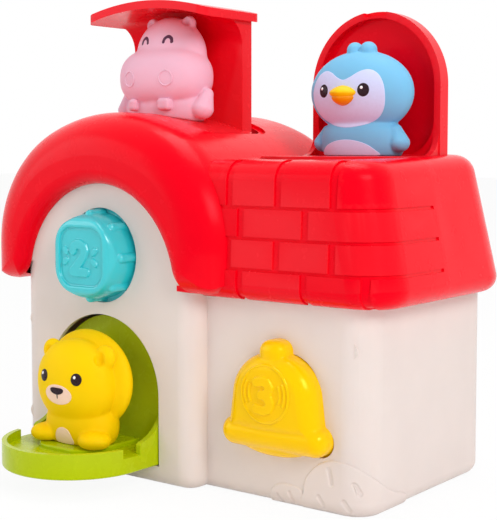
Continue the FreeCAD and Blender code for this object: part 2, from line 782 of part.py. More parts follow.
def frame_screw_bores(extra):
    y = (frame_back + guide_y + 8) / 2
    top = base_top + frame_foot + 1
    return [rod_z(0.5, top, side * frame_screw_x, y, screw_radius + extra) for side in (-1, 1)]


def lift_frame():
    foot = box(-16, 16, frame_front, guide_y + 8, base_top, base_top + frame_foot)
    upright = box(-frame_half, frame_half, frame_front, frame_back, base_top, frame_top)
    tab = box(-8, 8, frame_front, guide_y + 6, frame_tab_z, frame_tab_z + 4)
    frame = joined([foot, upright, tab])
    slot_low = spine_foot_z - lift_travel - 4
    cuts = [box(-arm_half - 0.5, arm_half + 0.5, frame_front - 1, frame_back + 0.01, slot_low, frame_tab_z)]
    cuts.append(rod_z(0, frame_tab_z + 5, 0, guide_y, guide_radius))
    cuts += frame_screw_bores(0.2)
    return frame.cut(Part.makeCompound(cuts))


def lift_frame_screws():
    """Two screws up through the base plate's underside would show; these go down from above."""
    y = (frame_back + guide_y + 8) / 2
    z = base_top + frame_foot
    screws = []
    for x in (-frame_screw_x, frame_screw_x):
        body = rod_z(0.5, z, x, y, screw_radius).fuse(rod_z(z, z + 2, x, y, screw_head_radius))
        cross = [
            box(x - 2, x + 2, y - 0.45, y + 0.45, z + 1, z + 3),
            box(x - 0.45, x + 0.45, y - 2, y + 2, z + 1, z + 3),
        ]
        screws.append(body.cut(Part.makeCompound(cross)))
    return Part.makeCompound(screws)


def lift_guide_rod():
    return rod_z(base_top, frame_tab_z + 4, 0, guide_y, guide_radius)


def lift_spring():
    low = base_top + frame_foot + seat_gap
    length = bushing_low - seat_gap - low
    return coil(guide_radius + 2.4, 1.2, 16, length, V(0, guide_y, low), ALONG_Z)


def hippo():
    x, y = hippo_x, 39.9
    parts = [
        egg(x, y, 188.0, 25.4, 14.4, 15.0),
        egg(x, y - 0.4, 204.2, 29.2, 16.4, 15.0),
        egg(x, y + 3.3, 216.0, 22.0, 13.3, 20.6),
    ]
    for side in (-1, 1):
        parts.append(egg(x + side * 26.0, y, 191.0, 5.8, 6.0, 8.2))
        parts.append(egg(x + side * 12.5, y + 4.1, 233.6, 3.6, 2.6, 4.0))
    body = joined(parts)
    for tooth_x in (x - 11.0, x + 9.5):
        tooth = box(tooth_x - 4, tooth_x + 4, 23.6, 30, 187.0, 193.4)
        body = body.fuse(rounded(tooth, 1.6, lambda p, e: p.y < 24))
    return body.removeSplitter().cut(vault(platform_drop))


# ---------------------------------------------------------------- penguin flap
knuckle_notch_half = 8.0
flap_latch_x0, flap_latch_x1 = 96.0, 108.0
flap_hook_high = flap_platform_top - flap_platform_thickness - 1.6
flap_hook_low = flap_hook_high - 3.0
gusset_reach = 12.0
penguin_x, penguin_y = 103.2, 72.0


def flap_lid():
    """Roof panel, platform and hinge knuckle in one moulding."""
    x, low = flap_centre_x, flap_platform_top - flap_platform_thickness
    panel = arch(x, flap_half_width, flap_pin_z, flap_arch_z, facing_front(flap_front))
    panel = panel.extrude(V(0, flap_back - flap_front, 0))
    place = facing_front(flap_front - 1)
    foot_round = min(18.0, flap_arch_z - flap_platform_top - 1)
    dish = arch(x, flap_half_width - flap_rim, flap_platform_top, flap_arch_z, place, foot_round)
    panel = panel.cut(dish.extrude(V(0, flap_dish + 1, 0)))
    x0, x1 = x - flap_half_width, x + flap_half_width
    knuckle = rod_x(x0, x1, flap_pin_y, flap_pin_z, flap_knuckle_radius)
    span = flap_half_width + 1
    lower = box(x - span, x + span, flap_pin_y - 10, flap_pin_y + 10, flap_pin_z - 6, flap_pin_z + 2.5)
    panel = panel.cut(lower).fuse(panel.common(lower).common(knuckle)).fuse(knuckle)
    centre_y = flap_pin_y - (flap_arch_z - flap_pin_z)
    floor = arch(x, flap_half_width - 0.6, flap_front + 2, centre_y, level(low))
    floor = floor.extrude(V(0, 0, flap_platform_thickness))
    parts = [panel, floor]
    inner = flap_half_width - flap_rim
    for side in (-1, 1):
        x0, x1 = sorted((x + side * inner, x + side * (flap_half_width - 0.6)))
        round_y, round_z = flap_front - gusset_reach, flap_platform_top + gusset_reach
        gusset = box(x0, x1, round_y, flap_front + 1, low + 1, round_z)
        parts.append(gusset.cut(rod_x(x0 - 1, x1 + 1, round_y, round_z, gusset_reach)))
    lid = joined(parts)
    reach = knuckle_notch_half
    hook_y0 = flap_pin_y + flap_hook_low - flap_pin_z - sliding
    hook_y1 = flap_pin_y + flap_hook_high - flap_pin_z + sliding
    cuts = [
        rod_x(x - span, x + span, flap_pin_y, flap_pin_z, flap_pin_radius + running),
        rod_x(x - reach, x + reach, flap_pin_y, flap_pin_z, flap_knuckle_radius + 0.3),
        box(flap_latch_x0 - 0.6, flap_latch_x1 + 0.6, hook_y0, hook_y1, flap_apex - 2.6, flap_apex + 1),
    ]
    return lid.cut(Part.makeCompound(cuts))


def flap_hinge_pin():
    return rod_x(flap_ears[0][0] + 0.2, flap_ears[1][1] - 0.2, flap_pin_y, flap_pin_z, flap_pin_radius)


def flap_spring():
    reach = knuckle_notch_half - 0.6
    start = V(flap_centre_x - reach, flap_pin_y, flap_pin_z)
    return coil(flap_pin_radius + 1.4, 1.0, 10, 2 * reach, start, ALONG_X)


def penguin_head(x):
    return egg(x, penguin_y, 194.8, 28.6, 17.0, 20.7)


def penguin():
    x, y = penguin_x, penguin_y
    parts = [penguin_head(x), egg(x, y + 0.2, 170.0, 23.6, 14.2, 14.5)]
    for side in (-1, 1):
        parts.append(egg(x + side * 21.6, y - 1.6, 170.8, 5.2, 6.6, 7.4))
    parts.append(egg(x - 3.7, y - 1.0, 216.4, 3.6, 5.0, 4.6))
    parts.append(egg(x + 4.6, y - 1.0, 216.4, 3.9, 5.0, 4.6))
    return joined(parts).cut(box(x - 60, x + 60, 0, 120, 100, flap_platform_top))


def penguin_beak():
    beak = egg(penguin_x - 1.0, penguin_y - 16.4, 193.2, 6.4, 6.0, 4.6)
    return beak.cut(penguin_head(penguin_x))


# ---------------------------------------------------------------- lion tray
tray_low = 10.0
heel_clear_z = 14.8
tray_half = door_half_width - door_gap
tray_heel_radius = 10.3
panel_top_half = tray_half
cheek_thickness = 2.9
cheek_front, cheek_high = -23.5, 40.0
notch_front, notch_low = -35.0, tray_low + tray_floor
pad_half, pad_front, pad_top = 19.5, -43.0, 20.0
door_spring_x0, door_spring_x1 = 43.9, 52.0


def door_tray():
    """Tray, back panel and pivots in one moulding; the panel covers the doorway from inside."""
    front_centre = pivot_y + pivot_z - door_arch_z
    tip = front_centre - tray_half
    heel = 5.7
    rim_top = tray_low + tray_rim_height
    whole = arch(0, tray_half, heel, front_centre, level(tray_low)).extrude(V(0, 0, tray_rim_height))
    whole = rounded(whole, 1.2, lambda p, e: abs(p.z - tray_low) < 1e-3 and p.y < heel - 1)
    hollow = arch(0, tray_half - tray_rim, heel + 5, front_centre, level(tray_low + tray_floor))
    whole = whole.cut(hollow.extrude(V(0, 0, 50)))
    behind_panel = box(-60, 60, panel_front + panel_thickness, 60, heel_clear_z, 100)
    whole = whole.cut(behind_panel.cut(rod_x(-60, 60, pivot_y, pivot_z, tray_heel_radius - 2)))
    panel = arch(0, panel_top_half, tray_low + 1, door_arch_z - 0.4, facing_front(panel_front))
    panel = panel.extrude(V(0, panel_thickness, 0))
    cheeks = []
    for side in (-1, 1):
        x0, x1 = sorted((side * (tray_half - cheek_thickness), side * tray_half))
        back = panel_front + 1
        points = [V(x0, cheek_front, rim_top), V(x0, back, cheek_high), V(x0, back, tray_low + 1),
                  V(x0, cheek_front, tray_low + 1)]
        cheek = Part.Face(Part.makePolygon(points + [points[0]])).extrude(V(x1 - x0, 0, 0))
        scoop_z = cheek_high + 3.0
        cheeks.append(cheek.cut(rod_x(x0 - 1, x1 + 1, cheek_front - 1.5, scoop_z, scoop_z - rim_top - 1.0)))
    pad = rectangle(-pad_half, pad_half, pad_front, panel_front + 0.5 + 12, 12.0, level(tray_low + 1))
    pad = pad.extrude(V(0, 0, pad_top - tray_low - 1)).cut(box(-60, 60, panel_front + 0.5, 60, 0, 60))
    pad = rounded(pad, 1.0, lambda p, e: abs(p.z - pad_top) < 1e-3)
    pivots = [
        rod_x(-door_ear_outer - 0.4, -tray_half + 2, pivot_y, pivot_z, pivot_radius),
        rod_x(tray_half - 2, door_spring_x1 + 0.6, pivot_y, pivot_z, pivot_radius),
        rod_x(-tray_half, -tray_half + 2.4, pivot_y, pivot_z, pivot_radius + 2),
        rod_x(tray_half - 2.4, tray_half, pivot_y, pivot_z, pivot_radius + 2),
    ]
    tray = joined([whole, panel, pad] + cheeks + pivots)
    heel_keep = rod_x(-60, 60, pivot_y, pivot_z, tray_heel_radius)
    heel_cut = box(-60, 60, pivot_y + 0.1, 40, 0, pivot_z).cut(heel_keep)
    notches = box(-60, 60, notch_front, cheek_front, notch_low, rim_top + 1)
    notches = notches.cut(box(-30, 30, -90, 90, 0, 90))
    return tray.cut(heel_cut).cut(notches)


def door_spring():
    start = V(door_spring_x0, pivot_y, pivot_z)
    return coil(pivot_radius + 1.5, 1.0, 6, door_spring_x1 - door_spring_x0, start, ALONG_X)


def lion():
    parts = [
        egg(0, -20.5, 51.0, 28.2, 9.0, 25.0),
        egg(0, -28.5, 50.4, 23.4, 13.4, 21.6),
        egg(0, -25.0, 29.0, 21.5, 13.0, 14.5),
    ]
    for side in (-1, 1):
        parts.append(egg(side * 16.6, -33.6, 23.9, 8.4, 8.0, 4.9))
        parts.append(egg(side * 17.6, -28.3, 64.4, 5.3, 3.8, 5.4))
    return joined(parts).cut(box(-60, 60, -90, 20, 0, pad_top))


# ---------------------------------------------------------------- controls
knob_flange_radius = 27.0
knob_flange_front = tower_inside_front + sliding
knob_flange_thickness = 2.0
knob_shoulder = 9.0
knob_face_half = 16.2
spindle_radius = 4.0
cam_radius, cam_lobe = 9.0, 14.0
cam_thickness = 3.5
knob_spring_radius = 6.6


def turn_knob():
    face_y = tower_front - knob_reach
    shoulder_y = face_y + knob_shoulder
    flange_back = knob_flange_front + knob_flange_thickness
    near_round = knob_radius - 0.4

    def ring(half, radius, y):
        place = facing_front(y)
        return rectangle(-half, half, knob_z - half, knob_z + half, radius, place).OuterWire

    rings = [ring(knob_radius, near_round, shoulder_y), ring(knob_face_half, 9.0, face_y)]
    nose = Part.makeLoft(rings, True, True)
    nose = rounded(nose, 1.8, lambda p, e: abs(p.y - face_y) < 1e-3)
    drum = Part.Face(rings[0]).extrude(V(0, knob_flange_front - shoulder_y, 0))
    flange = rod_y(knob_flange_front, flange_back, 0, knob_z, knob_flange_radius)
    parts = [nose, drum, flange]
    reach = knob_rib_reach - knob_rib_radius
    for i in range(8):
        angle = math.radians(45 * i)
        x, z = reach * math.sin(angle), knob_z + reach * math.cos(angle)
        rib = rod_y(shoulder_y + 0.5, knob_flange_front, x, z, knob_rib_radius)
        parts += [rib, ball(x, shoulder_y + 0.5, z, knob_rib_radius)]
    knob = joined(parts)
    recess = rectangle(-13.6, 13.6, knob_z - 13.6, knob_z + 13.6, 7.5, facing_front(face_y - 1))
    return knob.cut(recess.extrude(V(0, 1.7, 0)))


def knob_spindle():
    y0 = knob_flange_front + knob_flange_thickness
    y1 = knob_carrier_front + carrier_thickness + sliding + cam_thickness
    return rod_y(y0, y1, 0, knob_z, spindle_radius).cut(rod_y(y1 - 6, y1 + 1, 0, knob_z, screw_radius))


def knob_cam():
    y0 = knob_carrier_front + carrier_thickness + sliding
    disc = rod_y(y0, y0 + cam_thickness, 0, knob_z, cam_radius)
    lobe = box(-3, 3, y0, y0 + cam_thickness, knob_z - cam_lobe, knob_z)
    return disc.fuse(lobe).cut(rod_y(y0 - 1, y0 + 9, 0, knob_z, spindle_radius)).removeSplitter()


def knob_screw():
    y = knob_carrier_front + carrier_thickness + sliding + cam_thickness
    return screw(0, knob_z, y, 5.5, 1.6).fuse(rod_y(y, y + 0.6, 0, knob_z, 5.0))


def knob_spring():
    y0 = knob_flange_front + knob_flange_thickness + seat_gap
    length = knob_carrier_front - seat_gap - y0
    return coil(knob_spring_radius, 1.0, 7, length, V(0, y0, knob_z), ALONG_Y)


def knob_carrier():
    plate = rectangle(-32, 32, 87, 138, 4.0, facing_front(knob_carrier_front))
    plate = plate.extrude(V(0, carrier_thickness, 0))
    y1 = knob_carrier_front + carrier_thickness
    cuts = [rod_y(0, y1 + 1, 0, knob_z, spindle_radius + running)]
    cuts += post_bores(knob_posts, 0, y1 + 1, screw_radius + 0.2)
    return plate.cut(Part.makeCompound(cuts))


def knob_carrier_screws():
    y = knob_carrier_front + carrier_thickness
    return Part.makeCompound([screw(x, z, y, 9, 2.0) for x, z in knob_posts])


def lift_latch():
    """A sprung rocker: its hook lies over the lowered platform, its tail behind the knob's cam."""
    front, thick = 14.8, 1.2
    neck = box(-8, 8, knob_carrier_front + carrier_thickness, front + thick, 122.6, 124.4)
    blade = box(-8, 8, front, front + thick, 98.0, 128.6)
    hook_low = vault_apex - platform_drop - lift_travel + 0.4
    hook = box(-8, 8, front, lid_front + 2, hook_low, hook_low + 2.4)
    return joined([neck, blade, hook])


bell_body_front = -9.6
bell_flange_front = wall + 0.3
bell_flange_thickness = 2.4
bell_stem_radius = 5.0


def bell_faces(extra, y):
    """Outlines of the bell's body, skirt, clapper and top ball."""
    place = facing_front(y)
    x = bell_x
    low, top = bell_foot_z, bell_shoulder_z
    body = outline([
        (x - bell_body_half - extra, low - extra, 2.0),
        (x + bell_body_half + extra, low - extra, 2.0),
        (x + 20.5 + extra, top + extra, 18.0 + extra),
        (x - 20.5 - extra, top + extra, 18.0 + extra),
    ], place)
    reach, half = bell_skirt_half + extra, bell_skirt_radius + extra
    skirt = rectangle(x - reach, x + reach, bell_skirt_z - half, bell_skirt_z + half, half - 0.1, place)
    clapper = Part.Face(Part.Wire(Part.makeCircle(16.5 + extra, place(x, low + 5.4), ALONG_Y)))
    knob = Part.Face(Part.Wire(Part.makeCircle(bell_ball_radius + extra, place(x, bell_ball_z), ALONG_Y)))
    return body, skirt, clapper, knob


def bell_prisms(extra, y0, y1):
    return [face.extrude(V(0, y1 - y0, 0)) for face in bell_faces(extra, y0)]


def bell_button():
    body, skirt, clapper, knob = bell_faces(0, 0)
    back = bell_flange_front

    def block(face, front, radius):
        moved = face.copy()
        moved.translate(V(0, front, 0))
        solid = moved.extrude(V(0, back - front, 0))
        return rounded(solid, radius, lambda p, e: abs(p.y - front) < 1e-3)

    parts = [
        block(body, bell_body_front, 5.5),
        block(skirt, bell_body_front - 1.2, 6.0),
        block(clapper, bell_body_front + 2.6, 4.0),
        block(knob, bell_ball_radius - 14.6, 5.6),
    ]
    low, high = bell_foot_z + 5.8, bell_foot_z + 34.4
    medallion = outline([
        (bell_x - 14.5, low, 13.0), (bell_x + 14.5, low, 13.0),
        (bell_x + 14.5, high, 13.0), (bell_x - 14.5, high, 13.0),
    ], facing_front(bell_body_front - 1.2))
    parts.append(rounded(medallion.extrude(V(0, 3, 0)), 0.8, lambda p, e: p.y < bell_body_front - 1))
    flange = [face.extrude(V(0, bell_flange_thickness, 0)) for face in bell_faces(2.5, back)]
    button = joined(parts + flange)
    low, high = low + 1.8, high - 1.8
    dish = outline([
        (bell_x - 12.7, low, 11.2), (bell_x + 12.7, low, 11.2),
        (bell_x + 12.7, high, 11.2), (bell_x - 12.7, high, 11.2),
    ], facing_front(bell_body_front - 3))
    return button.cut(dish.extrude(V(0, 2.8, 0)))


def bell_stem():
    y0 = bell_flange_front + bell_flange_thickness
    return rod_y(y0, bell_carrier_front + carrier_thickness + 4, bell_x, bell_stem_z, bell_stem_radius)


def bell_carrier():
    y = bell_carrier_front
    depth = V(0, carrier_thickness, 0)
    left, right = bell_posts[0][0] - 5, bell_posts[1][0] + 3.5
    low, high = bell_stem_z - 8, bell_stem_z + 8
    plate = rectangle(left, right, low, high, 3.0, facing_front(y)).extrude(depth)
    mast = box(109.5, 123, y, y + carrier_thickness, high - 6, 97)
    shelf = box(94, 123, y, y + carrier_thickness, 87, 97)
    carrier = joined([plate, mast, shelf])
    cuts = [rod_y(0, 30, bell_x, bell_stem_z, bell_stem_radius + running)]
    cuts += post_bores(bell_posts, 0, 30, screw_radius + 0.2)
    return carrier.cut(Part.makeCompound(cuts))


def bell_carrier_screws():
    y = bell_carrier_front + carrier_thickness
    return Part.makeCompound([screw(x, z, y, 9, 2.0) for x, z in bell_posts])


def bell_spring():
    y0 = bell_flange_front + bell_flange_thickness + seat_gap
    length = bell_carrier_front - seat_gap - y0
    return coil(bell_stem_radius + 2.2, 1.0, 3.25, length, V(bell_x, y0, bell_stem_z), ALONG_Y)


def flap_latch():
    """A sprung rocker on the bell's carrier: hook above, pusher below in front of the bell's back."""
    x0, x1 = flap_latch_x0, flap_latch_x1
    front = 12.2
    low = bell_shoulder_z - 6.7
    blade = box(x0, x1, front, front + 1.2, low, flap_hook_high)
    foot = box(x0, x1, front, bell_carrier_front, 88, 94)
    tip_y = flap_pin_y + flap_pin_z - flap_apex
    hook = box(x0, x1, front, tip_y + 3.3, flap_hook_low, flap_hook_high)
    pusher = box(x0, x1, 8.0, front + 1.2, low, low + 3)
    return joined([blade, foot, hook, pusher])


def door_latch():
    """A sprung catch behind the lowered panel's edge; the slider's finger pushes it back."""
    reach_y = pivot_y + (panel_top_half + door_arch_z - 0.4 - pivot_z)
    blade = box(-9, 9, reach_y + 2.8, reach_y + 4.0, base_top, 22.8)
    foot = box(-9, 9, reach_y + 2.8, frame_front - 1, base_top, base_top + 1.4)
    hook = box(-9, 9, reach_y - 1.8, reach_y + 4.0, 20.8, 22.8)
    return joined([blade, foot, hook])


def slider_button():
    left = -tower_half
    y, z = slider_y, slider_z
    half = slider_stem_half
    cap = box(left - 6, left - 0.3, y - 12, y + 12, z - 11, z + 11)
    cap = rounded(cap, 2.5, lambda p, e: p.x < left - 0.4)
    half_height = slider_stem_height / 2
    stem = box(left - 1, left + wall + 0.4, y - half, y + half, z - half_height, z + half_height)
    ridges = [box(left - 7, left - 5, y + d - 1, y + d + 1, z - 7, z + 7) for d in (-6, 0, 6)]
    return joined([cap, stem] + ridges)


def slider_link():
    """Plate behind the slot, with an arm down to the finger in front of the door's catch."""
    x0 = -tower_half + wall + 0.4
    x1 = x0 + 2.8
    y = slider_y
    plate = box(x0, x1, y - 12, y + 16, slider_z - 8, slider_z + 8)
    drop = box(x0, x1, y + 2, y + 12, 13, slider_z)
    sill = box(x0, x1, y + 2, 58, 13, 18)
    finger = box(x0, -2, 55, 58, 13, 16)
    seat = box(x0, slider_spring_x + 2.8, y + 13, y + 16, slider_z - 4, slider_z + 6)
    return joined([plate, drop, sill, finger, seat])


def slider_spring():
    y0 = slider_y + 16 + seat_gap
    length = slider_seat_y - seat_gap - y0
    return coil(2.4, 0.7, 7, length, V(slider_spring_x, y0, slider_z + 1), ALONG_Y)


# ---------------------------------------------------------------- write the parts
nodes = (
    front_shell, back_shell, base_plate, roof_front, roof_back, case_screws, roof_screws,
    knob_carrier, knob_carrier_screws, bell_carrier, bell_carrier_screws,
    lift_frame, lift_frame_screws, lift_guide_rod, lift_spring, lift_latch,
    door_spring, door_latch, flap_hinge_pin, flap_spring, flap_latch,
    slider_spring, knob_spring, bell_spring,
    lift_hood, lift_platform, lift_carriage, hippo,
    flap_lid, penguin, penguin_beak, door_tray, lion,
    turn_knob, knob_spindle, knob_cam, knob_screw,
    bell_button, bell_stem, slider_button, slider_link,
)

os.makedirs("parts", exist_ok=True)
for node in nodes:
    save(node.__name__, node())
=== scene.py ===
import itertools
import math

import bpy
import numpy as np
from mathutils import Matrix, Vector


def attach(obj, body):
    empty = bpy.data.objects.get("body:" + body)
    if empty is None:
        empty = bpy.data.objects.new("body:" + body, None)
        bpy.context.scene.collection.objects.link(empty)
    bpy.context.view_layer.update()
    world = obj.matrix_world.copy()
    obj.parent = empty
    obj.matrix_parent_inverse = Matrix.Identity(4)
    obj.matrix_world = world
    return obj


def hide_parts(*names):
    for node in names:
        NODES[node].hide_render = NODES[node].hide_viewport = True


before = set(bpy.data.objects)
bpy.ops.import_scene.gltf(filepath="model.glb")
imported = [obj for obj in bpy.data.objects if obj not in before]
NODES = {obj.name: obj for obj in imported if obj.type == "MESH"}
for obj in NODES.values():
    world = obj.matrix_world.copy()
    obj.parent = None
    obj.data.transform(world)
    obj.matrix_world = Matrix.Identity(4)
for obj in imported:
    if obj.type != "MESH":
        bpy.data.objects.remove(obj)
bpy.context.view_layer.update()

# Looks of the pop-up animal house. Sizes are in mm in the source's datum: X = 0 is the tower's axis,
# Y = 0 the wing's front wall, Z = 0 the table. spot() and mesh_piece() turn them into the frame's metres.
DATUM = np.array([45.85, 52.35, 0.0])


def spot(x, y, z):
    return Vector(((x - DATUM[0]) / 1000, (y - DATUM[1]) / 1000, z / 1000))


def srgb(r, g, b):
    """Display colour 0..255 to the linear colour that a shader takes."""
    shares = (r / 255, g / 255, b / 255)
    return [c / 12.92 if c <= 0.04045 else ((c + 0.055) / 1.055) ** 2.4 for c in shares] + [1.0]


# ---------------------------------------------------------------- materials
class Graph:
    """Shorthand for building a material's node tree."""

    def __init__(self, name):
        self.material = bpy.data.materials.new(name)
        self.material.use_nodes = True
        self.tree = self.material.node_tree
        self.shader = self.tree.nodes["Principled BSDF"]
        self.place = self.add("ShaderNodeTexCoord").outputs["Object"]

    def add(self, kind, **values):
        node = self.tree.nodes.new(kind)
        for key, value in values.items():
            setattr(node, key, value)
        return node

    def link(self, a, b):
        self.tree.links.new(a, b)

    def noise(self, scale, detail, roughness=0.5, stretch=None):
        node = self.add("ShaderNodeTexNoise")
        node.inputs["Scale"].default_value = scale
        node.inputs["Detail"].default_value = detail
        node.inputs["Roughness"].default_value = roughness
        source = self.place
        if stretch:
            mapping = self.add("ShaderNodeMapping")
            mapping.inputs["Scale"].default_value = stretch
            self.link(self.place, mapping.inputs["Vector"])
            source = mapping.outputs["Vector"]
        self.link(source, node.inputs["Vector"])
        return node.outputs["Fac"]

    def span(self, value, low, high, out_low, out_high):
        node = self.add("ShaderNodeMapRange")
        node.inputs["From Min"].default_value = low
        node.inputs["From Max"].default_value = high
        node.inputs["To Min"].default_value = out_low
        node.inputs["To Max"].default_value = out_high
        self.link(value, node.inputs["Value"])
        return node.outputs["Result"]

    def mixed(self, factor, a, b):
        node = self.add("ShaderNodeMix", data_type="RGBA")
        self.link(factor, node.inputs["Factor"])
        for socket, value in (("A", a), ("B", b)):
            target = [s for s in node.inputs if s.name == socket and s.type == "RGBA"][0]
            if isinstance(value, list):
                target.default_value = value
            else:
                self.link(value, target)
        return [s for s in node.outputs if s.type == "RGBA"][0]

    def bump(self, height, strength, distance, normal=None):
        node = self.add("ShaderNodeBump")
        node.inputs["Strength"].default_value = strength
        node.inputs["Distance"].default_value = distance
        self.link(height, node.inputs["Height"])
        if normal is not None:
            self.link(normal, node.inputs["Normal"])
        return node.outputs["Normal"]


def scaled(colour, k):
    return [min(1.0, c * k) for c in colour[:3]] + [1.0]


def moulded(name, colour, rough, grain, drift, glow=0.0, glow_colour=None, specular=0.5, shine=(1, 1, 1)):
    """Moulded or cast plastic: cloudy colour, uneven gloss, fine mould grain and a painted highlight that
    makes convex edges slightly paler.
    """
    g = Graph(name)
    cloud = g.noise(38.0, 3.0, 0.55)
    tint = g.mixed(g.span(cloud, 0.3, 0.7, 0.0, 1.0), scaled(colour, 1 - drift), scaled(colour, 1 + drift))
    # painted highlight: convex edges (high pointiness) are mixed up to 7 % towards a paler colour
    edge = g.add("ShaderNodeNewGeometry").outputs["Pointiness"]
    edge_highlight_colour = scaled([c * 0.75 + 0.25 for c in colour[:3]], 1.0)
    tint = g.mixed(g.span(edge, 0.52, 0.62, 0.0, 0.07), tint, edge_highlight_colour)
    g.link(tint, g.shader.inputs["Base Color"])
    gloss = g.noise(150.0, 2.0, 0.6)
    g.link(g.span(gloss, 0.3, 0.7, rough - 0.05, rough + 0.05), g.shader.inputs["Roughness"])
    fine = g.noise(2600.0, 1.0, 0.5)
    wave = g.noise(26.0, 1.0, 0.4)
    normal = g.bump(wave, 0.05, 0.0004)
    g.link(g.bump(fine, grain, 0.00006, normal), g.shader.inputs["Normal"])
    g.shader.inputs["Specular IOR Level"].default_value = specular
    g.shader.inputs["Specular Tint"].default_value = (*shine, 1)
    if glow:
        g.shader.inputs["Subsurface Weight"].default_value = glow
        g.shader.inputs["Subsurface Radius"].default_value = glow_colour
        g.shader.inputs["Subsurface Scale"].default_value = 0.004
    return g.material


def steel(name, colour, rough, stretch):
    g = Graph(name)
    brushed = g.noise(900.0, 3.0, 0.6, stretch)
    g.link(g.mixed(brushed, scaled(colour, 0.8), scaled(colour, 1.15)), g.shader.inputs["Base Color"])
    g.link(g.span(brushed, 0.2, 0.8, rough - 0.08, rough + 0.1), g.shader.inputs["Roughness"])
    g.link(g.bump(brushed, 0.2, 0.00004), g.shader.inputs["Normal"])
    g.shader.inputs["Metallic"].default_value = 1.0
    return g.material


def printed(name, colour, rough):
    """Pad-printed ink: flat colour with a slightly broken film."""
    g = Graph(name)
    film = g.noise(700.0, 2.0, 0.6)
    g.link(g.mixed(film, scaled(colour, 0.94), scaled(colour, 1.04)), g.shader.inputs["Base Color"])
    g.link(g.span(film, 0.3, 0.7, rough - 0.06, rough + 0.08), g.shader.inputs["Roughness"])
    g.link(g.bump(film, 0.15, 0.00003), g.shader.inputs["Normal"])
    g.shader.inputs["Specular IOR Level"].default_value = 0.15
    return g.material


CREAM = moulded("cream plastic", srgb(228, 215, 209), 0.46, 0.22, 0.02, 0.10, [1.0, 0.7, 0.55], specular=0.3)
RED = moulded("red plastic", srgb(240, 0, 26), 0.24, 0.05, 0.02, specular=0.24, shine=(1, 0.16, 0.2))
TURQUOISE = moulded("turquoise plastic", srgb(40, 199, 209), 0.22, 0.05, 0.02, 0.12, [0.3, 0.9, 1.0],
                    specular=0.8)
BELL_YELLOW = moulded("bell yellow plastic", srgb(255, 202, 0), 0.20, 0.05, 0.02, 0.15, [1.0, 0.6, 0.1],
                      specular=0.5, shine=(1, 0.75, 0.12))
GREEN = moulded("lime green plastic", srgb(178, 196, 0), 0.26, 0.05, 0.02, 0.08, [0.6, 1.0, 0.1],
                specular=0.3, shine=(0.8, 1, 0.1))
PINK = moulded("pink vinyl", srgb(244, 194, 214), 0.60, 0.30, 0.02, 0.2, [1.0, 0.4, 0.4], specular=0.12)
BLUE = moulded("blue vinyl", srgb(122, 190, 228), 0.56, 0.30, 0.02, 0.15, [0.4, 0.7, 1.0], specular=0.15)
LION = moulded("yellow vinyl", srgb(255, 208, 0), 0.56, 0.25, 0.02, 0.2, [1.0, 0.6, 0.1], specular=0.08)
BEAK = moulded("beak yellow vinyl", srgb(246, 200, 0), 0.42, 0.25, 0.04, 0.1, [1.0, 0.6, 0.1], specular=0.2)
LIP = moulded("beak orange vinyl", srgb(236, 150, 0), 0.44, 0.25, 0.04, 0.1, [1.0, 0.5, 0.1], specular=0.2)
INNER = moulded("white inner plastic", srgb(234, 234, 231), 0.55, 0.30, 0.02)
SPRING = steel("drawn spring wire", srgb(190, 192, 196), 0.25, (1.0, 1.0, 8.0))
SCREW = steel("zinc plated steel", srgb(171, 173, 177), 0.36, (1.0, 6.0, 1.0))
WHITE_INK = printed("white print", srgb(208, 216, 250), 0.5)
PEACH_INK = printed("peach print", srgb(255, 216, 196), 0.5)
DARK_INK = printed("dark print", srgb(44, 26, 34), 0.28)
PLUM_INK = printed("plum print", srgb(92, 52, 78), 0.45)
SPARK = printed("eye highlight", srgb(250, 248, 250), 0.3)

FINISH = {
    "front_shell": (CREAM, "cream_plastic"), "back_shell": (CREAM, "cream_plastic"),
    "base_plate": (CREAM, "cream_plastic"), "roof_front": (RED, "red_plastic"),
    "roof_back": (RED, "red_plastic"), "lift_hood": (RED, "red_plastic"),
    "lift_platform": (RED, "red_plastic"), "flap_lid": (RED, "red_plastic"),
    "door_tray": (GREEN, "green_plastic"), "turn_knob": (TURQUOISE, "turquoise_plastic"),
    "bell_button": (BELL_YELLOW, "yellow_plastic"), "slider_button": (TURQUOISE, "turquoise_plastic"),
    "hippo": (PINK, "pink_vinyl"), "penguin": (BLUE, "blue_vinyl"), "lion": (LION, "yellow_vinyl"),
    "penguin_beak": (BEAK, "orange_vinyl"),
}
for name, node in NODES.items():
    if name in FINISH:
        material, slot = FINISH[name]
    elif "screw" in name or name in ("lift_guide_rod", "flap_hinge_pin"):
        material, slot = SCREW, "screw_steel"
    elif "spring" in name:
        material, slot = SPRING, "spring_steel"
    else:
        material, slot = INNER, "white_inner_plastic"
    node.data.materials.clear()
    node.data.materials.append(material)
    for face in node.data.polygons:
        face.material_index = 0


# ---------------------------------------------------------------- forms: signed distances in mm
def at(*c):
    return np.array(c, float)


def length(v):
    return np.sqrt((v * v).sum(-1))


def egg(p, centre, half):
    half = at(*half)
    q = p - at(*centre)
    k0 = length(q / half)
    k1 = np.maximum(length(q / half ** 2), 1e-9)
    return k0 * (k0 - 1) / k1


def full_egg(p, centre, half, power):
    """An egg whose shoulders fill out as power grows past 2."""
    half = at(*half)
    q = np.maximum(np.abs((p - at(*centre)) / half), 1e-6)
    k = (q ** power).sum(-1) ** (1 / power)
    return (k - 1) / np.maximum(length(q ** (power - 1) / half) * k ** (1 - power), 1e-4)


def drop(p, a, b, ra, rb, flat=(1, 1, 1)):
    """A round cone from a to b, squeezed by flat."""
    flat = at(*flat)
    a, b, q = at(*a) / flat, at(*b) / flat, p / flat
    ab = b - a
    t = np.clip(((q - a) @ ab) / (ab @ ab), 0, 1)
    return (length(q - a - t[..., None] * ab) - (ra + (rb - ra) * t)) * flat.min()


def blend(a, b, k):
    h = np.clip(0.5 + 0.5 * (b - a) / k, 0, 1)
    return b * (1 - h) + a * h - k * h * (1 - h)


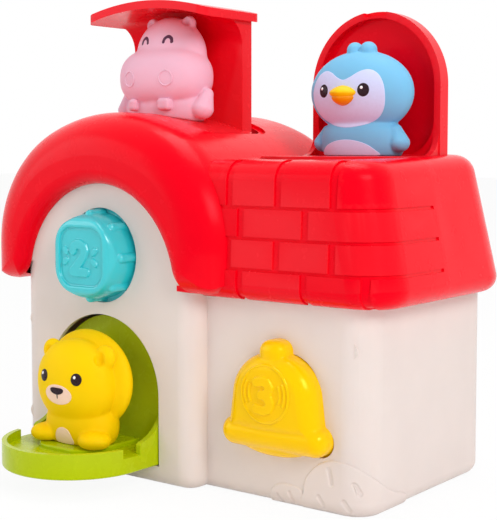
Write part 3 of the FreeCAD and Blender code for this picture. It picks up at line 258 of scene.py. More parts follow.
def carve(a, b, k):
    return -blend(-a, b, k)


def keep(a, b, k):
    """Where both forms are, with a rounded edge."""
    return -blend(-a, -b, k)


def round_square(x, z, half, corner):
    q = np.abs(np.stack([x, z], -1)) - np.expand_dims(half - corner, -1)
    return length(np.maximum(q, 0)) + np.minimum(q.max(-1), 0) - corner


def round_box(p, centre, half, radius):
    q = np.abs(p - at(*centre)) - (at(*half) - radius)
    return length(np.maximum(q, 0)) + np.minimum(q.max(-1), 0) - radius


def slope(form, p):
    e = 0.05
    return np.stack([form(p + e * d) - form(p - e * d) for d in np.eye(3)], -1) / (2 * e)


def settle(form, p, reach):
    """Moves points on to the form's surface, by up to reach a step."""
    for _ in range(3):
        g = slope(form, p)
        move = form(p)[..., None] * g / np.maximum((g * g).sum(-1), 0.05)[..., None]
        size = length(move)[..., None]
        p = p - move * np.minimum(1.0, reach / np.maximum(size, 1e-9))
    return p


def mesh_piece(name, points, faces, material, body):
    mesh = bpy.data.meshes.new(name)
    corners = [tuple(v) for v in (np.asarray(points) - DATUM) / 1000]
    mesh.from_pydata(corners, [], [list(map(int, f)) for f in faces])
    mesh.validate()
    mesh.update()
    piece = bpy.data.objects.new(name, mesh)
    bpy.context.scene.collection.objects.link(piece)
    mesh.materials.append(material)
    mesh.polygons.foreach_set("use_smooth", [True] * len(mesh.polygons))
    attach(piece, body)
    return piece


def skin(name, form, low, high, step, material, body, slot, *stands_for):
    """A closed smooth mesh of a form's surface, one vertex to a grid cell that the surface crosses."""
    axes = [np.arange(low[i], high[i] + step, step) for i in range(3)]
    grid = np.stack(np.meshgrid(*axes, indexing="ij"), -1)
    f = form(grid)
    n = np.array(f.shape) - 1
    total, count = np.zeros(tuple(n) + (3,)), np.zeros(tuple(n))
    crossings = []
    for axis in range(3):
        lower, upper = [slice(None)] * 3, [slice(None)] * 3
        lower[axis], upper[axis] = slice(0, -1), slice(1, None)
        a, b = f[tuple(lower)], f[tuple(upper)]
        cross = (a < 0) != (b < 0)
        t = np.where(cross, a / np.where(cross, a - b, 1.0), 0.0)
        point = grid[tuple(lower)].copy()
        point[..., axis] += t * step
        others = [i for i in range(3) if i != axis]
        for du, dv in itertools.product((0, 1), repeat=2):
            part = [slice(None)] * 3
            part[others[0]] = slice(du, du + n[others[0]])
            part[others[1]] = slice(dv, dv + n[others[1]])
            part = tuple(part)
            total += np.where(cross[part][..., None], point[part], 0.0)
            count += cross[part]
        crossings.append((cross, a < 0))
    mixed = count > 0
    index = np.full(tuple(n), -1)
    index[mixed] = np.arange(mixed.sum())
    points = total[mixed] / count[mixed][:, None]
    faces = []
    for axis, (cross, inside) in enumerate(crossings):
        u, v = (axis + 1) % 3, (axis + 2) % 3
        where = np.argwhere(cross)
        good = (where[:, u] > 0) & (where[:, v] > 0) & (where[:, u] < n[u]) & (where[:, v] < n[v])
        where = where[good]
        ring = []
        for du, dv in ((1, 1), (0, 1), (0, 0), (1, 0)):
            cell = where.copy()
            cell[:, u] -= du
            cell[:, v] -= dv
            ring.append(index[cell[:, 0], cell[:, 1], cell[:, 2]])
        quads = np.stack(ring, -1)
        flip = ~inside[where[:, 0], where[:, 1], where[:, 2]]
        quads[flip] = quads[flip][:, ::-1]
        faces.append(quads)
    points = settle(form, points, step * 0.5)
    piece = mesh_piece(name, points, np.concatenate(faces), material, body)
    if stands_for:
        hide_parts(*stands_for)


BACKWARD = (0, 1, 0)


def cast(form, starts, direction):
    """Points where rays first meet the form."""
    d = at(*direction)
    d = d / math.sqrt(d @ d)
    p = np.array(starts, float)
    for _ in range(90):
        p = p + np.clip(form(p), -2, 4)[..., None] * 0.8 * d
    return p


def ring_faces(rings, count):
    """The quads between each ring of count points and the next."""
    sides = [(r * count, i, (i + 1) % count) for r in range(rings) for i in range(count)]
    return [(start + i, start + j, start + count + j, start + count + i) for start, i, j in sides]


def sheet_faces(rows, columns):
    """The quads of a grid of points."""
    cell = (np.arange(rows - 1)[:, None] * columns + np.arange(columns - 1)[None, :]).ravel()
    return np.stack([cell, cell + columns, cell + columns + 1, cell + 1], -1)


INK_EDGE = -0.25            # a mark's edge goes this far into the form


def patch(name, form, outline, start_y, material, body, lift):
    """A printed area: an (x, z) outline, laid on the form from its front."""
    outline = np.array(outline, float)
    centre = outline.mean(0)
    count = len(outline)
    shares = [1.0, 1.0, 0.985] + list(np.linspace(0.94, 0.06, 14))
    flat = [centre + (outline - centre) * s for s in shares]
    flat = np.concatenate(flat + [centre[None]])
    starts = np.stack([flat[:, 0], np.full(len(flat), start_y), flat[:, 1]], -1)
    p = cast(form, starts, BACKWARD)
    g = slope(form, p)
    normal = g / length(g)[:, None]
    height = np.full(len(p), lift)
    height[:count] = INK_EDGE
    height[count:2 * count] = lift * 0.4
    p = p + normal * height[:, None]
    last, tip = (len(shares) - 1) * count, len(p) - 1
    fan = [(last + i, last + (i + 1) % count, tip) for i in range(count)]
    mesh_piece(name, p, ring_faces(len(shares) - 1, count) + fan, material, body)


def spot_frame(form, x, z, start_y):
    """Surface point under (x, z) seen from the front, with its normal and two tangents."""
    p = cast(form, [[x, start_y, z]], BACKWARD)[0]
    g = slope(form, p[None])[0]
    normal = g / math.sqrt(g @ g)
    across = np.cross(at(0, 0, 1), normal)
    across = across / math.sqrt(across @ across)
    return p, normal, across, np.cross(normal, across)


def button(name, form, x, z, start_y, half_u, half_v, material, body, bulge, shift=(0, 0)):
    """A small domed oval set on a form, square to its surface."""
    p, normal, across, up = spot_frame(form, x, z, start_y)
    p = p + across * shift[0] + up * shift[1]
    count, rings = 40, 8
    points = []
    for r in range(rings + 1):
        s = math.cos(r / rings * math.pi / 2)
        rise = math.sin(r / rings * math.pi / 2) ** 0.8 * bulge - 0.3 * (r == 0)
        for i in range(count):
            a = 2 * math.pi * i / count
            points.append((math.cos(a) * half_u * s, math.sin(a) * half_v * s, rise))
    uv = np.array(points)
    flat = p + uv[:, :1] * across + uv[:, 1:2] * up + normal * 6.0
    on = cast(form, flat, -normal)
    mesh_piece(name, on + normal * uv[:, 2:3], ring_faces(rings, count), material, body)


def stroke(name, form, path, half_width, start_y, material, body, lift, taper=True):
    """A printed or raised line along an (x, z) path, with rounded ends."""
    path = np.array(path, float)
    fine = [path[0]]
    for a, b in zip(path[:-1], path[1:]):
        steps = max(2, int(math.hypot(*(b - a)) / 0.3))
        fine += [a + (b - a) * (i + 1) / steps for i in range(steps)]
    fine = np.array(fine)
    tangent = np.gradient(fine, axis=0)
    tangent = tangent / np.maximum(length(tangent)[:, None], 1e-9)
    side = np.stack([-tangent[:, 1], tangent[:, 0]], -1)
    arc = np.concatenate([[0], np.cumsum(length(np.diff(fine, axis=0)))])
    near = np.minimum(np.minimum(arc, arc[-1] - arc) / half_width, 1)
    share = np.sqrt(np.clip(1 - (1 - near) ** 2, 0.0, 1)) if taper else np.ones(len(fine))
    width = np.maximum(half_width * share, half_width * 0.15)
    lanes = (-1.0, -0.9, -0.5, 0.0, 0.5, 0.9, 1.0)
    rise = (INK_EDGE, lift * 0.5, lift * 0.9, lift, lift * 0.9, lift * 0.5, INK_EDGE)
    flat = np.concatenate([fine + side * (width * w)[:, None] for w in lanes])
    heights = np.concatenate([np.full(len(fine), h) for h in rise])
    for k in range(len(lanes)):
        heights[k * len(fine)] = heights[(k + 1) * len(fine) - 1] = INK_EDGE
    starts = np.stack([flat[:, 0], np.full(len(flat), start_y), flat[:, 1]], -1)
    p = cast(form, starts, BACKWARD)
    g = slope(form, p)
    p = p + g / length(g)[:, None] * heights[:, None]
    m = len(fine)
    faces = [(k * m + i, (k + 1) * m + i, (k + 1) * m + i + 1, k * m + i + 1)
             for k in range(len(lanes) - 1) for i in range(m - 1)]
    mesh_piece(name, p, faces, material, body)


def spline(points, closed=True, steps=8):
    """Catmull-Rom curve through 2-D points."""
    pts = np.array(points, float)
    n = len(pts)
    out = []
    for i in range(n if closed else n - 1):
        q = [pts[(i + k) % n] if closed else pts[min(max(i + k, 0), n - 1)] for k in (-1, 0, 1, 2)]
        for s in range(steps):
            t = s / steps
            out.append(0.5 * (2 * q[1] + (q[2] - q[0]) * t + (2 * q[0] - 5 * q[1] + 4 * q[2] - q[3]) * t * t
                              + (3 * q[1] - q[0] - 3 * q[2] + q[3]) * t ** 3))
    if not closed:
        out.append(pts[-1])
    return np.array(out)


def mirrored(half, axis):
    """Closes a right-hand half outline, listed from top to bottom, with its mirror image."""
    left = [(2 * axis - x, z) for x, z in reversed(half) if abs(x - axis) > 0.05]
    return list(half) + left


def ring_path(x, z, half_u, half_v, count=48):
    """An oval that ends where it starts."""
    turns = [2 * math.pi * i / count for i in range(count + 1)]
    return [(x + half_u * math.sin(a), z + half_v * math.cos(a)) for a in turns]


# ---------------------------------------------------------------- where the animals sit
VAULT_CENTRE_Z, VAULT_RADIUS = 85.3, 100.0
HIPPO_DROP = 1.65           # the hippo's underside, in from the vault's surface
PENGUIN_LOW_Z, LION_LOW_Z = 163.05, 20.05


def vault_seat(x):
    return VAULT_CENTRE_Z + np.sqrt(np.maximum((VAULT_RADIUS - HIPPO_DROP) ** 2 - x ** 2, 0))


# ---------------------------------------------------------------- hippo
HIPPO_X = 0.3


def hippo(p):
    body = egg(p, (HIPPO_X, 39.9, 188), (26.4, 12.8, 15))
    snout = full_egg(p, (HIPPO_X, 39.5, 204.4), (28.2, 16.4, 16.8), 2.4)
    head = egg(p, (HIPPO_X + 0.6, 43.2, 216), (22.0, 13.3, 20.6))
    form = blend(body, snout, 1.0)
    form = blend(form, head, 2.0)
    m = p.copy()
    m[..., 0] = np.abs(m[..., 0] - HIPPO_X)
    arm = drop(m, (26.4, 38.4, 187.8), (27.2, 40.6, 194.8), 5.8, 3.6)
    form = blend(form, arm, 0.8)
    ear = egg(m, (12.6, 44, 233.0), (4.0, 2.9, 3.9))
    form = blend(form, ear, 1.6)
    form = carve(form, egg(m, (12.7, 41.2, 233.6), (2.2, 1.5, 2.6)), 1.0)
    seat = p[..., 2] - vault_seat(p[..., 0])
    return keep(form, -seat, 0.8)


skin("hippo_body", hippo, (-34, 20, 178), (36, 60, 240), 0.75, PINK, "lift", "pink_vinyl", "hippo")
for side, word in ((-1, "left"), (1, "right")):
    stroke("hippo_nostril_" + word, hippo, ring_path(HIPPO_X + side * 12.6, 203.4, 3.8, 3.9), 0.5, 0.0, PINK,
           "lift", 0.42, False)
    arc = [(-2.5, -2.1), (-2.0, 0.3), (0.0, 1.6), (2.0, 0.3), (2.5, -2.1)]
    stroke("hippo_eye_" + word, hippo, spline([(HIPPO_X + side * 8.0 + u, 223.9 + v) for u, v in arc], False),
           0.9, 0.0, PLUM_INK, "lift", 0.12)


def tooth(x, half):
    def form(p):
        return round_box(p, (x, 28.4, 189.9), (half, 3.6, 3.2), 1.9)
    return form


for x, half, word in ((HIPPO_X - 12.0, 2.7, "left"), (HIPPO_X + 9.6, 4.1, "right")):
    skin("hippo_tooth_" + word, tooth(x, half), (x - 6, 22, 184), (x + 6, 34, 195), 0.5, PINK, "lift",
         "pink_vinyl")


# ---------------------------------------------------------------- penguin
PENGUIN_X, PENGUIN_Y, BODY_X = 103.2, 72.0, 103.9


def penguin(p):
    head = egg(p, (PENGUIN_X, PENGUIN_Y, 194.9), (28.7, 17, 21.0))
    body = full_egg(p, (BODY_X, PENGUIN_Y + 0.2, 170), (22.4, 14, 14.5), 2.3)
    m = p.copy()
    m[..., 0] = np.abs(m[..., 0] - BODY_X)
    wing = drop(m, (22.6, PENGUIN_Y - 1.6, 169.6), (19.8, PENGUIN_Y - 1.0, 175.6), 4.6, 3.2, (1, 1.3, 1))
    form = blend(body, wing, 0.8)
    form = blend(form, head, 0.8)
    for offset, half in ((-3.5, 4.0), (4.4, 4.3)):
        form = blend(form, egg(p, (PENGUIN_X + offset, PENGUIN_Y - 1, 216.2), (half, 4.6, 4.1)), 1.0)
    return keep(form, PENGUIN_LOW_Z - p[..., 2], 0.8)


skin("penguin_body", penguin, (70, 50, 160), (136, 92, 224), 0.75, BLUE, "flap", "blue_vinyl", "penguin")
face_half = [(0, 200.7), (3.8, 202.0), (8.2, 204.6), (12.6, 205.6), (17, 203.8), (20.2, 199.4), (21.4, 193.6),
             (20.6, 187.6), (17.4, 182.6), (12, 179.4), (6, 177.8), (0, 177.2)]
FACE_X = PENGUIN_X - 0.8
patch("penguin_face", penguin, spline(mirrored([(FACE_X + u, z) for u, z in face_half], FACE_X)), 20,
      WHITE_INK, "flap", 0.14)
belly_half = [(0, 171.2), (6, 170.6), (11.4, 168.9), (15.2, 166.4), (17.2, 163.5), (9, 163.3), (0, 163.3)]
patch("penguin_belly", penguin, spline(mirrored([(FACE_X + u, z) for u, z in belly_half], FACE_X)), 20,
      WHITE_INK, "flap", 0.14)


def outside_head(p):
    """Under 0 outside the penguin's head, less a skin that the beak reaches into."""
    return -egg(p, (PENGUIN_X, PENGUIN_Y, 194.8), (28, 16.4, 20.1))


def beak_upper(p):
    form = full_egg(p, (FACE_X, PENGUIN_Y - 16.4, 194.3), (7.7, 6.2, 3.7), 1.6)
    return keep(form, outside_head(p), 0.4)


def beak_lower(p):
    form = full_egg(p, (FACE_X, PENGUIN_Y - 16.2, 191.9), (6.4, 5.4, 4.0), 1.6)
    return keep(form, outside_head(p), 0.4)


for name, form, material in (("beak_upper", beak_upper, BEAK), ("beak_lower", beak_lower, LIP)):
    low = (FACE_X - 9, PENGUIN_Y - 26, 185)
    high = (FACE_X + 9, PENGUIN_Y - 8, 200)
    stands_for = ("penguin_beak",) if form is beak_upper else ()
    skin(name, form, low, high, 0.45, material, "flap", "orange_vinyl", *stands_for)
for side, word in ((-1, "left"), (1, "right")):
    x = FACE_X + (-12.2, 11.4)[side > 0]
    button("penguin_eye_" + word, penguin, x, 195.5, 20, 3.2, 3.4, DARK_INK, "flap", 0.55)
    button("penguin_glint_" + word, penguin, x, 195.5, 20, 0.95, 0.95, SPARK, "flap", 0.75,
           shift=(-0.8, 1.1))


# ---------------------------------------------------------------- lion
def lion(p):
    mane = egg(p, (0.6, -20.5, 51), (28.6, 9, 25))
    face = full_egg(p, (-0.2, -28.5, 50.2), (24.0, 13.4, 21.8), 2.12)
    body = full_egg(p, (0, -25, 29), (21.2, 13, 14.5), 2.3)
    form = blend(mane, body, 1.0)
    form = blend(form, face, 0.8)
    m = p.copy()
    m[..., 0] = np.abs(m[..., 0])
    paw = egg(m, (16.6, -33.6, 23.8), (8.6, 8, 4.7))
    form = blend(form, paw, 1.2)
    m[..., 0] = np.abs(p[..., 0] - 0.9)
    ear = egg(m, (18.3, -28.0, 64.6), (6.0, 3.8, 6.0))
    form = blend(form, ear, 0.9)
    form = carve(form, egg(m, (18.0, -32.2, 64.2), (2.7, 2.2, 3.6)), 0.8)
    return keep(form, LION_LOW_Z - p[..., 2], 0.8)


skin("lion_body", lion, (-32, -48, 18), (32, -8, 80), 0.75, LION, "door", "yellow_vinyl", "lion")
patch("lion_muzzle", lion, ring_path(-0.6, 45.8, 9.0, 5.0, 60)[:-1], -80, PEACH_INK, "door",
      0.12)
belly = [(0, 28.8), (3.6, 27.7), (5.6, 24.8), (6.2, 21), (3, 20.3), (0, 20.2), (-3, 20.3), (-6.2, 21),
         (-5.6, 24.8), (-3.6, 27.7)]
patch("lion_belly", lion, spline([(x - 1.0, z) for x, z in belly]), -80, PEACH_INK, "door",
      0.12)
nose = [(0, 49.3), (3.0, 49.2), (4.4, 48.4), (3.4, 46.8), (0, 45.9), (-3.4, 46.8), (-4.4, 48.4),
        (-3.0, 49.2)]
patch("lion_nose", lion, spline([(x - 0.8, z) for x, z in nose]), -80, DARK_INK, "door", 0.5)
stroke("lion_lip", lion, [(-0.8, 46.2), (-0.8, 43.6)], 0.4, -80, DARK_INK, "door", 0.25)
for side, word in ((-1, "left"), (1, "right")):
    button("lion_eye_" + word, lion, side * 11.1, 54.3, -80, 3.1, 3.1, DARK_INK, "door", 0.5)
    button("lion_glint_" + word, lion, side * 11.1, 54.3, -80, 0.95, 0.95, SPARK, "door", 0.7,
           shift=(-0.8, 1.0))


# ---------------------------------------------------------------- numerals: distance to a thick pen line
def pen(q, points):
    best = np.full(q.shape[:-1], 1e9)
    for a, b in zip(points[:-1], points[1:]):
        a, b = at(*a), at(*b)
        ab = b - a
        t = np.clip(((q - a) @ ab) / max(ab @ ab, 1e-9), 0, 1)
        best = np.minimum(best, length(q - a - t[..., None] * ab))
    return best


TWO = [(-3.4, 3.2), (-2.8, 4.8), (-1.2, 5.9), (0.6, 6.0), (2.4, 5.0), (3.1, 3.2), (2.6, 1.2), (1.0, -0.9),
       (-1.2, -3.2), (-3.6, -5.6), (0, -5.7), (3.9, -5.7)]
THREE = [(-3.2, 4.9), (-0.4, 5.5), (1.8, 5.1), (3.1, 3.2), (2.2, 1.2), (0.2, 0.3), (-0.8, 0.3), (0.4, 0.3),
         (2.6, -0.8), (3.5, -3.0), (2.2, -5.0), (0.0, -5.7), (-3.4, -5.2)]


# ---------------------------------------------------------------- raised marks on a form
def plaque(name, form, x0, z0, half, margin, height, start_y, material, body):
    """A fine sheet over a form's front: it covers where margin(u, v) is under 0 and rises by height(u, v)."""
    step = 0.24
    n_u, n_v = int(2 * half[0] / step) + 2, int(2 * half[1] / step) + 2
    u = (np.arange(n_u) - (n_u - 1) / 2) * step
    v = (np.arange(n_v) - (n_v - 1) / 2) * step
    uv = np.stack(np.meshgrid(u, v, indexing="ij"), -1).reshape(-1, 2)
    edge = margin(uv)
    faces = sheet_faces(n_u, n_v)
    faces = faces[(edge[faces] < step).all(-1)]
    used, faces = np.unique(faces, return_inverse=True)
    faces = faces.reshape(-1, 4)
    uv, edge = uv[used], edge[used]
    starts = np.stack([x0 + uv[:, 0], np.full(len(uv), start_y), z0 + uv[:, 1]], -1)
    on = cast(form, starts, BACKWARD)
    rise = np.where(edge > -step, -0.35, 0.06 + height(uv))
    on[:, 1] -= rise
    mesh_piece(name, on, faces, material, body)


def bevel(distance, width):
    """1 inside a mark, 0 outside, with a rounded slope at its edge."""
    t = np.clip(0.5 - distance / width, 0, 1)
    return t * t * (3 - 2 * t)


# ---------------------------------------------------------------- turning knob
KNOB_FACE, KNOB_BACK, KNOB_DISH, KNOB_Z, KNOB_SHOULDER = -26.0, -8.3, 1.4, 112.7, 9.0
KNOB_FLANGE_RADIUS, KNOB_FLANGE_Y, KNOB_FLANGE_HALF = 27, -7.2, 1.0


def knob_blank(p):
    """A rounded square that swells into a drum, with eight ribs along its side."""
    x, y, z = p[..., 0], p[..., 1], p[..., 2] - KNOB_Z
    t = np.clip((y - KNOB_FACE) / KNOB_SHOULDER, 0, 1)
    swell = (1 - (1 - t) ** 2.2) ** 0.7
    half = 16.9 + 4.6 * swell
    corner = 9.2 + 12.1 * swell
    side = round_square(x, z, half, corner)
    form = keep(side * 0.75, KNOB_FACE - y, 1.0)
    turn = np.arctan2(x, z)
    turn = (turn + math.pi / 8) % (math.pi / 4) - math.pi / 8
    far = np.hypot(x, z)
    ribs = np.stack([far * np.sin(turn), y, far * np.cos(turn)], -1)
    return blend(form, drop(ribs, (0, -18.6, 20.9), (0, -7, 20.9), 2.5, 2.5), 0.35)


def knob(p):
    x, y, z = p[..., 0], p[..., 1], p[..., 2] - KNOB_Z
    form = keep(knob_blank(p), y - KNOB_BACK, 0.3)
    flange = np.maximum(np.hypot(x, z) - KNOB_FLANGE_RADIUS, np.abs(y - KNOB_FLANGE_Y) - KNOB_FLANGE_HALF)
    dish = round_square(x, z, 14.9, 8.4)
    form = carve(form, keep(dish, y - (KNOB_FACE + KNOB_DISH), 0.3), 0.35)
    return np.minimum(form, flange)


skin("knob_cap", knob, (-28, -28, 84), (28, -5, 141), 0.5, TURQUOISE, "knob", "turquoise_plastic",
     "turn_knob")


def knob_margin(uv):
    return round_square(uv[..., 0], uv[..., 1], 14.3, 8.0)


def knob_height(uv):
    centre = uv - at(-1.4, -0.8)
    number = pen(centre, [(x * 1.26, z * 1.2) for x, z in TWO]) - 2.3
    number = np.maximum(number, np.abs(centre[..., 1]) - 9.4)
    rise = 1.2 * bevel(number, 0.5)
    for x, z in ((-10.9, 2.9), (-10.9, -2.6), (9.0, 2.9), (9.0, -2.6)):
        lean = math.copysign(0.8, x * z)
        q = uv - at(x, z)
        q = np.stack([q[..., 0] * math.cos(lean) + q[..., 1] * math.sin(lean),
                      -q[..., 0] * math.sin(lean) + q[..., 1] * math.cos(lean)], -1)
        petal = (length(q / at(2.5, 1.6)) - 1) * 1.6
        rise = np.maximum(rise, 1.1 * bevel(petal, 0.5))
    return rise


def knob_floor(p):
    return KNOB_FACE + KNOB_DISH - p[..., 1]


plaque("knob_number", knob_floor, 0, KNOB_Z, (14.6, 14.6), knob_margin, knob_height, -40, TURQUOISE, "knob")


# ---------------------------------------------------------------- bell
BELL_X, BELL_FOOT, BELL_TOP, BELL_SHOULDER = 105.0, 33, 72.3, 18.5
BELL_BACK, BELL_SECTION_Y = 3.0, -3.4
BELL_FLANGE_RIM, BELL_FLANGE_Y, BELL_FLANGE_HALF = 2.4, 3.9, 1.15
SKIRT_REACH, SKIRT_RADIUS = 22.4, 7.1
MEDALLION_X, MEDALLION_Z = BELL_X - 0.6, 54.1


def bell_outline(x, z):
    """The bell's body from the front, as far down as its skirt."""
    lean = np.clip((z - 34.4) / 37.3, 0, 1)
    half = 26.0 - 4.8 * lean
    q = np.stack([np.abs(x) - (half - BELL_SHOULDER), z - (BELL_TOP - BELL_SHOULDER)], -1)
    outline = length(np.maximum(q, 0)) + np.minimum(q.max(-1), 0) - BELL_SHOULDER
    return np.maximum(outline, BELL_FOOT - z)


def bell_blank(p):
    """The bell without its numeral. Behind BELL_SECTION_Y its section stays the same."""
    x, z = p[..., 0] - BELL_X, p[..., 2]
    y = np.minimum(p[..., 1], BELL_SECTION_Y)
    outline = bell_outline(x, z)
    front = -11.2 - 1.0 * np.clip(1 - (x / 22) ** 2 - ((z - 54) / 24) ** 2, 0, 1)
    r = 8.0
    w = np.stack([outline + r, front - y + r], -1)
    body = length(np.maximum(w, 0)) + np.minimum(w.max(-1), 0) - r
    front_point = np.stack([p[..., 0], y, z], -1)
    left, right = ((BELL_X + side * SKIRT_REACH, -3.9, 33.6) for side in (-1, 1))
    skirt = drop(front_point, left, right, SKIRT_RADIUS, SKIRT_RADIUS)
    form = blend(body, skirt, 0.8)
    clapper = full_egg(front_point, (BELL_X - 0.5, -3.4, 34.0), (23.5, 5.8, 10.3), 2.2)
    form = blend(form, clapper, 0.6)
    ball = full_egg(front_point, (BELL_X - 0.3, -3.6, 72.4), (7.4, 6.6, 6.3), 2.4)
    return blend(form, ball, 0.9)


def bell(p):
    x, y, z = p[..., 0] - BELL_X, p[..., 1], p[..., 2]
    form = keep(bell_blank(p), y - BELL_BACK, 0.3)
    foot = length(np.stack([np.maximum(np.abs(x) - 22.2, 0), z - BELL_FOOT], -1)) - 7.0
    flange = np.minimum(bell_outline(x, z), foot) - BELL_FLANGE_RIM
    flange = np.maximum(flange, np.abs(y - BELL_FLANGE_Y) - BELL_FLANGE_HALF)
    return np.minimum(form, flange)


skin("bell_cap", bell, (68, -14, 18), (142, 6.5, 84), 0.5, BELL_YELLOW, "bell", "yellow_plastic",
     "bell_button")


def bell_oval(uv):
    return (length(uv / at(14.3, 14.4)) - 1) * 14.3


def bell_height(uv):
    oval = bell_oval(uv)
    rise = 0.6 * bevel(oval + 0.5, 0.7) - 0.6 * bevel(oval + 1.5, 0.5)   # the rim
    centre = uv - at(-0.6, -0.8)
    number = pen(centre, [(x * 1.18, z * 1.22) for x, z in THREE]) - 2.2
    rise = np.maximum(rise, 1.1 * bevel(number, 0.6))
    for side, middle in ((-1, -0.3), (1, 0.3)):
        for reach in (8.6, 11.0):
            q = uv - at(middle, 0.3)
            a = np.arctan2(q[..., 1], q[..., 0] * side)
            arc = np.maximum(np.abs(length(q) - reach) - 0.5, (np.abs(a) - 0.50) * reach)
            rise = np.maximum(rise, 0.8 * bevel(arc, 0.5))
    return rise


plaque("bell_number", bell_blank, MEDALLION_X, MEDALLION_Z, (14.8, 15.0), bell_oval, bell_height, -40,
       BELL_YELLOW, "bell")


# ---------------------------------------------------------------- bushes in relief on the wing's corner
CORNER_START, CORNER_ROUND, BASE_ROUND = 138.5, 14.0, 6.5


def wall_points(s, z, height):
    """Points height mm outside the wing's wall, s mm along it from X = 0, round its corner and its foot."""
    a = np.clip((s - CORNER_START) / CORNER_ROUND, 0, math.pi / 2)
    past = np.maximum(s - CORNER_START - CORNER_ROUND * math.pi / 2, 0)
    x = np.minimum(s, CORNER_START) + CORNER_ROUND * np.sin(a)
    y = CORNER_ROUND * (1 - np.cos(a)) + past
    tilt = np.arcsin(np.clip((BASE_ROUND - z) / BASE_ROUND, 0, 0.999))
    out = (BASE_ROUND + height) * np.cos(tilt) - BASE_ROUND
    low = np.where(z < BASE_ROUND, BASE_ROUND - (BASE_ROUND + height) * np.sin(tilt), z)
    return np.stack([x + out * np.sin(a), y - out * np.cos(a), low], -1)


def polygon(q, points):
    """Signed distance to a closed polygon, under 0 inside."""
    points = list(points) + [points[0]]
    inside = np.zeros(q.shape[:-1], bool)
    for (ax, az), (bx, bz) in zip(points[:-1], points[1:]):
        across = (az > q[..., 1]) != (bz > q[..., 1])
        x = ax + (q[..., 1] - az) * (bx - ax) / (bz - az if bz != az else 1e-9)
        inside ^= across & (q[..., 0] < x)
    return pen(q, points) * np.where(inside, -1, 1)


TALL_BUSH = spline([(117.0, -3.0), (117.9, 7.8), (118.0, 11.1), (119.5, 15.4), (122.4, 19.2), (126.3, 22.7),
                    (132.1, 25.3), (137.8, 25.6), (144.7, 24.1), (151.0, 20.9), (156.7, 17.0), (165.1, 11.6),
                    (173.0, 8.6), (179.0, 7.0), (184.0, 2.0), (184.0, -3.0)], True, 4)
LOW_BUSH = spline([(98.0, -3.0), (99.0, 4.4), (99.8, 7.1), (102.4, 9.3), (106.4, 10.7), (110.5, 10.8),
                   (114.5, 10.1), (117.6, 8.3), (119.0, 4.0), (119.0, -3.0)], True, 4)
LEAVES = (((132.5, 20.9), (133.7, 14.7), 1.2), ((145.2, 15.4), (147.4, 11.7), 1.3),
          ((126.9, 7.5), (129.0, 4.7), 1.0), ((140.4, 7.2), (142.8, 3.8), 1.15),
          ((110.5, 6.6), (112.2, 3.0), 0.9), ((103.4, 4.6), (105.6, 2.0), 0.8))


def bush(name, outline, low, high, plate):
    """A leafy outline that stands plate mm proud of the wall, with its leaves pressed in."""
    step = 0.3
    s_count, z_count = int((high[0] - low[0]) / step) + 1, int((high[1] - low[1]) / step) + 1
    s = low[0] + np.arange(s_count) * step
    z = low[1] + np.arange(z_count) * step
    q = np.stack(np.meshgrid(s, z, indexing="ij"), -1).reshape(-1, 2)
    edge = polygon(q, outline)
    height = plate * bevel(edge + 0.35, 0.7)
    for top, bottom, half in LEAVES:
        height = height - 0.6 * bevel(pen(q, [top, bottom]) - half, 0.7) * (edge < 0)
    height = np.where(edge > 0, -0.3, height)
    faces = sheet_faces(s_count, z_count)
    faces = faces[(edge[faces] < 1.5 * step).any(-1)]
    used, faces = np.unique(faces, return_inverse=True)
    mesh_piece(name, wall_points(q[used, 0], q[used, 1], height[used]), faces.reshape(-1, 4), CREAM, "house")


bush("bush_tall", TALL_BUSH, (116, 0.8), (182, 27), 0.85)
bush("bush_low", LOW_BUSH, (97, 0.8), (120, 12), 0.7)


# ---------------------------------------------------------------- studio
FLOOR_WHITE, FLOOR_REACH = 0.93, 6
AMBIENT = 0.52              # the world's light on matte surfaces; the camera sees it at full strength


def first_sight(tree):
    """1 for what the camera sees, directly, in a reflection or through a surface, and 0 for other light."""
    rays = tree.nodes.new("ShaderNodeLightPath")
    found = rays.outputs["Is Camera Ray"]
    for kind in ("Is Glossy Ray", "Is Transmission Ray"):
        either = tree.nodes.new("ShaderNodeMath")
        either.operation = "MAXIMUM"
        tree.links.new(found, either.inputs[0])
        tree.links.new(rays.outputs[kind], either.inputs[1])
        found = either.outputs[0]
    return found


def plain(name, colour, white):
    """A matte surface that the camera, and reflections, see as pale as white says."""
    g = Graph(name)
    haze = g.noise(2.0, 2.0)
    g.link(g.mixed(haze, scaled(colour, 0.99), scaled(colour, 1.0)), g.shader.inputs["Base Color"])
    g.shader.inputs["Roughness"].default_value = 0.9
    g.shader.inputs["Specular IOR Level"].default_value = 0.1
    share = g.add("ShaderNodeMath", operation="MULTIPLY")
    g.link(first_sight(g.tree), share.inputs[0])
    share.inputs[1].default_value = white
    glow = g.add("ShaderNodeEmission")
    glow.inputs["Color"].default_value = (1, 1, 1, 1)
    glow.inputs["Strength"].default_value = 1.0
    mix = g.add("ShaderNodeMixShader")
    g.link(share.outputs[0], mix.inputs[0])
    g.link(g.shader.outputs[0], mix.inputs[1])
    g.link(glow.outputs[0], mix.inputs[2])
    g.link(mix.outputs[0], g.tree.nodes["Material Output"].inputs["Surface"])
    return g.material


floor_mesh = bpy.data.meshes.new("floor")
corners = [(x * FLOOR_REACH, y * FLOOR_REACH, 0) for x, y in ((-1, -1), (1, -1), (1, 1), (-1, 1))]
floor_mesh.from_pydata(corners, [], [(0, 1, 2, 3)])
floor = bpy.data.objects.new("floor", floor_mesh)
bpy.context.scene.collection.objects.link(floor)
floor_mesh.materials.append(plain("pale floor", srgb(250, 249, 248), FLOOR_WHITE))

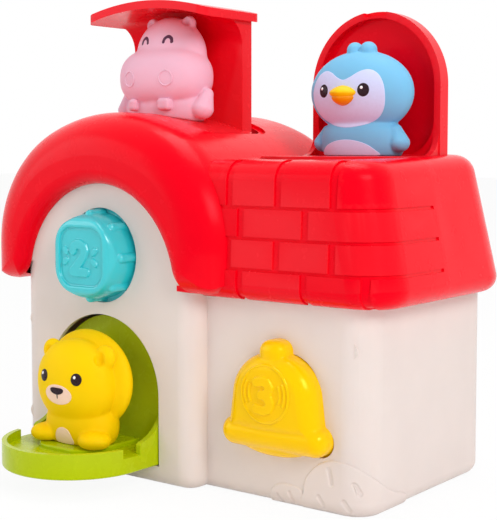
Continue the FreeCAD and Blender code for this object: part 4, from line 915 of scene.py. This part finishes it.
world = bpy.data.worlds.new("studio")
bpy.context.scene.world = world
world.use_nodes = True
sky = world.node_tree
ambient = sky.nodes.new("ShaderNodeMapRange")
ambient.inputs["To Min"].default_value = AMBIENT
ambient.inputs["To Max"].default_value = 1.0
sky.links.new(first_sight(sky), ambient.inputs["Value"])
sky.links.new(ambient.outputs["Result"], sky.nodes["Background"].inputs["Strength"])
sky.nodes["Background"].inputs["Color"].default_value = (1, 1, 1, 1)


def softbox(name, place, size, power):
    lamp = bpy.data.lights.new(name, "AREA")
    lamp.shape = "RECTANGLE"
    lamp.size, lamp.size_y = size
    lamp.energy = power
    rig = bpy.data.objects.new(name, lamp)
    bpy.context.scene.collection.objects.link(rig)
    rig.location = place
    rig.rotation_euler = (LAMP_AIM - Vector(place)).to_track_quat("-Z", "Y").to_euler()


LAMP_AIM = Vector((0, 0, 0.10))
softbox("key_right", (1.25, -0.55, 0.95), (0.55, 0.55), 11.0)
softbox("fill_left", (-0.95, -0.9, 0.55), (0.8, 0.8), 3.2)
softbox("top", (0.05, 0.1, 1.25), (0.7, 0.5), 5.5)

# The photo's camera: pixels of its 520 rows, degrees, and mm in the datum. Its axis meets row AXIS_ROW.
PICTURE_ROWS, FOCAL_PIXELS, AXIS_ROW = 520, 1223.449, 235.888
CAMERA_PLACE, CAMERA_DOWN, CAMERA_TURN = (435.994, -457.342, 166.430), 4.0569, 37.4242

camera_data = bpy.data.cameras.new("camera")
camera_data.sensor_fit = "VERTICAL"
camera_data.sensor_width = 36.0
camera_data.sensor_height = 36.0
camera_data.lens = FOCAL_PIXELS * camera_data.sensor_height / PICTURE_ROWS
camera_data.shift_y = -(PICTURE_ROWS / 2 - AXIS_ROW) / PICTURE_ROWS
camera_data.clip_start = 0.01
camera = bpy.data.objects.new("camera", camera_data)
bpy.context.scene.collection.objects.link(camera)
camera.location = spot(*CAMERA_PLACE)
camera.rotation_euler = (math.radians(90 - CAMERA_DOWN), 0, math.radians(CAMERA_TURN))
bpy.context.scene.camera = camera
bpy.context.scene.view_settings.view_transform = "Standard"
